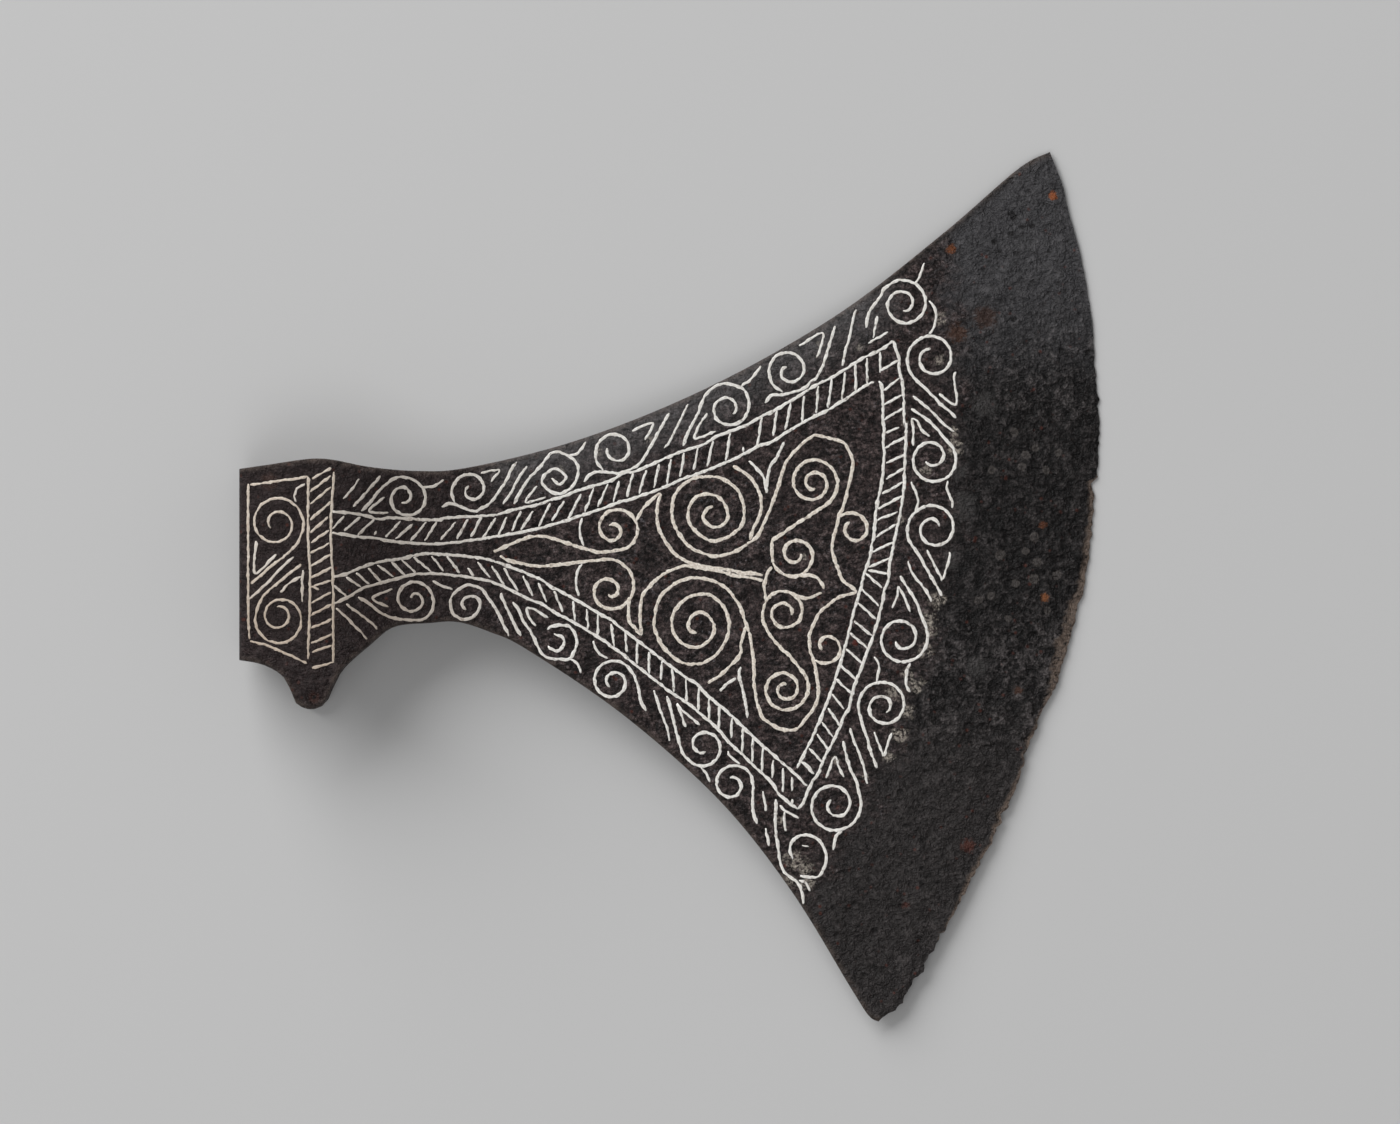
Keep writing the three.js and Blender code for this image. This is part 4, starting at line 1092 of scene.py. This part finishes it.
# %% The rungs of the borders
# The rungs of the twisted borders: from one rail to the other.
RUNG_ENDS = {
    "border_socket": [
        (313, 479, 332, 468), (311, 492, 332, 476), (311, 504, 332, 487), (311, 520, 332, 502),
        (311, 533, 329, 517), (312, 543, 330, 530), (311, 553, 331, 543), (312, 566, 332, 554),
        (312, 578, 333, 567), (312, 587, 332, 580), (313, 586, 320, 590), (312, 603, 332, 592),
        (312, 615, 333, 604), (312, 628, 333, 619), (312, 643, 333, 634), (313, 652, 333, 645),
        (313, 668, 335, 662),
    ],
    "border_upper": [
        (345, 516, 333, 529), (361, 517, 345, 531), (375, 519, 358, 536), (377, 531, 375, 535),
        (401, 521, 386, 537), (413, 524, 396, 539), (427, 522, 411, 541), (437, 522, 425, 541),
        (456, 522, 441, 540), (468, 519, 457, 539), (482, 516, 471, 537), (496, 518, 482, 539),
        (507, 517, 498, 536), (521, 511, 512, 531), (533, 511, 521, 530), (550, 503, 539, 527),
        (564, 501, 552, 521), (581, 494, 568, 519), (594, 488, 585, 512), (608, 484, 598, 507),
        (619, 481, 613, 502), (633, 472, 627, 497), (646, 470, 639, 494), (659, 464, 654, 488),
        (671, 459, 667, 484), (684, 453, 680, 477), (698, 448, 694, 470), (713, 441, 707, 467),
        (730, 433, 726, 461), (743, 447, 743, 452), (762, 417, 757, 446), (777, 410, 773, 436),
        (791, 403, 785, 430), (804, 396, 802, 423), (818, 386, 816, 413), (832, 378, 828, 408),
        (845, 372, 842, 400), (855, 364, 856, 391), (867, 358, 867, 384), (880, 352, 880, 373),
    ],
    "border_lower": [
        (334, 585, 348, 597), (347, 577, 362, 587), (357, 573, 370, 584), (369, 568, 382, 583),
        (378, 565, 394, 577), (392, 562, 406, 576), (402, 559, 416, 573), (414, 557, 432, 572),
        (432, 556, 444, 571), (447, 556, 460, 573), (468, 568, 474, 576), (478, 562, 490, 578),
        (492, 566, 504, 585), (504, 568, 518, 591), (523, 576, 533, 596), (538, 583, 547, 602),
        (554, 591, 563, 612), (573, 601, 575, 621), (587, 609, 588, 629), (598, 613, 598, 635),
        (611, 624, 614, 647), (625, 632, 627, 652), (637, 641, 637, 664), (649, 652, 649, 674),
        (662, 661, 661, 680), (672, 668, 674, 692), (686, 679, 687, 702), (699, 687, 698, 711),
        (709, 698, 709, 719), (719, 705, 719, 729), (732, 718, 731, 738), (743, 727, 742, 752),
        (753, 738, 752, 762), (763, 747, 762, 771), (773, 760, 772, 778), (783, 768, 783, 792),
        (792, 777, 792, 791), (792, 799, 792, 805),
    ],
    "border_side": [
        (898, 360, 880, 371), (900, 378, 883, 391), (902, 395, 883, 405), (903, 408, 883, 420),
        (899, 427, 886, 433), (907, 436, 884, 448), (906, 454, 886, 463), (904, 468, 886, 479),
        (903, 482, 882, 494), (902, 496, 878, 509), (898, 512, 877, 520), (896, 524, 876, 537),
        (894, 542, 872, 552), (890, 558, 869, 567), (888, 574, 868, 570), (882, 588, 866, 573),
        (862, 589, 879, 606), (858, 603, 876, 619), (854, 621, 872, 636), (850, 633, 868, 649),
        (846, 649, 863, 664), (840, 665, 856, 680), (836, 679, 852, 694), (832, 694, 844, 709),
        (828, 708, 840, 726), (822, 722, 833, 737), (817, 734, 829, 751), (809, 748, 823, 763),
        (801, 761, 812, 770), (802, 762, 814, 774),
    ],
}
RUNGS = {name: [[ends[:2], ends[2:]] for ends in rows] for name, rows in RUNG_ENDS.items()}

# %% Hammer the wires in
stroke_count = 0
for name, strokes in WIRE_STROKES.items():
    centre_piece = name in ("stem_scrolls", "heart_scroll")
    width = CENTRE_WIDTH if centre_piece else RAIL_WIDTH if name in RUNGS else SCROLL_WIDTH
    if "socket" in name:
        width = SOCKET_WIDTH
    finish = warm_silver if centre_piece or "socket" in name else silver
    drawn = [(stroke, width) for stroke in strokes]
    drawn += [(rung, THIN_WIDTH) for rung in RUNGS.get(name, [])]
    wires("wire_" + name, drawn, finish, "silver_" + name)
    stroke_count += len(drawn)
wires("wire_small_strokes", [(stroke, THIN_WIDTH) for stroke in SMALL_STROKES], silver)
print(f"silver: {stroke_count + len(SMALL_STROKES)} wires")

# %% [markdown]
# ## The stage
# The photograph looks straight down on the decorated face, from far away, so the camera looks along the
# axis of the blade's thickness with a very long lens. The floor is plain pale grey. One large soft light
# stands up and to the left, so the shadow falls down and to the right. A weak one from below and an even
# sky keep the shadows open.

# %% Floor
floor_bm = bmesh.new()
bmesh.ops.create_grid(floor_bm, x_segments=1, y_segments=1, size=3)
floor = new_object("floor", floor_bm)
floor_finish = bpy.data.materials.new("pale_floor")
floor_finish.use_nodes = True
floor_shader = floor_finish.node_tree.nodes["Principled BSDF"]
FLOOR_GREY = 0.60
floor_shader.inputs["Base Color"].default_value = (FLOOR_GREY, FLOOR_GREY, FLOOR_GREY, 1)
floor_shader.inputs["Roughness"].default_value = 0.9
floor_shader.inputs["Specular IOR Level"].default_value = 0.1
floor.data.materials.append(floor_finish)

# %% Lights
def soft_light(name, place, size, power, aim=(0, 0, 0)):
    lamp = bpy.data.lights.new(name, "AREA")
    lamp.shape, lamp.size, lamp.energy = "SQUARE", size, power
    made = bpy.data.objects.new(name, lamp)
    made.location = place
    made.rotation_euler = (Vector(aim) - Vector(place)).to_track_quat("-Z", "Y").to_euler()
    bpy.context.scene.collection.objects.link(made)


soft_light("key_light", (-1.7, 2.2, 1.9), 3.0, 113)
soft_light("fill_light", (-0.3, -1.0, 2.4), 1.6, 12)
sky = bpy.data.worlds.new("even_light")
sky.use_nodes = True
sky.node_tree.nodes["Background"].inputs["Color"].default_value = (1, 1, 1, 1)
sky.node_tree.nodes["Background"].inputs["Strength"].default_value = 0.25
bpy.context.scene.world = sky

# %% Camera
FRAME_PX = 1400, 1124
FRAME_WIDTH = FRAME_PX[0] / PX_PER_MM * MM
camera_data = bpy.data.cameras.new("camera")
camera_data.lens, camera_data.sensor_width = 600, 36
camera_data.clip_end = 50
camera = bpy.data.objects.new("camera", camera_data)
frame_centre = Vector((*on_axe(np.array(FRAME_PX) / 2), 0))
away = FRAME_WIDTH * camera_data.lens / camera_data.sensor_width
camera.matrix_world = (
    Matrix.Translation(lie @ frame_centre) @ turn @ Matrix.Translation((0, 0, away))
)
bpy.context.scene.collection.objects.link(camera)
bpy.context.scene.camera = camera
bpy.context.scene.view_settings.view_transform = "Standard"
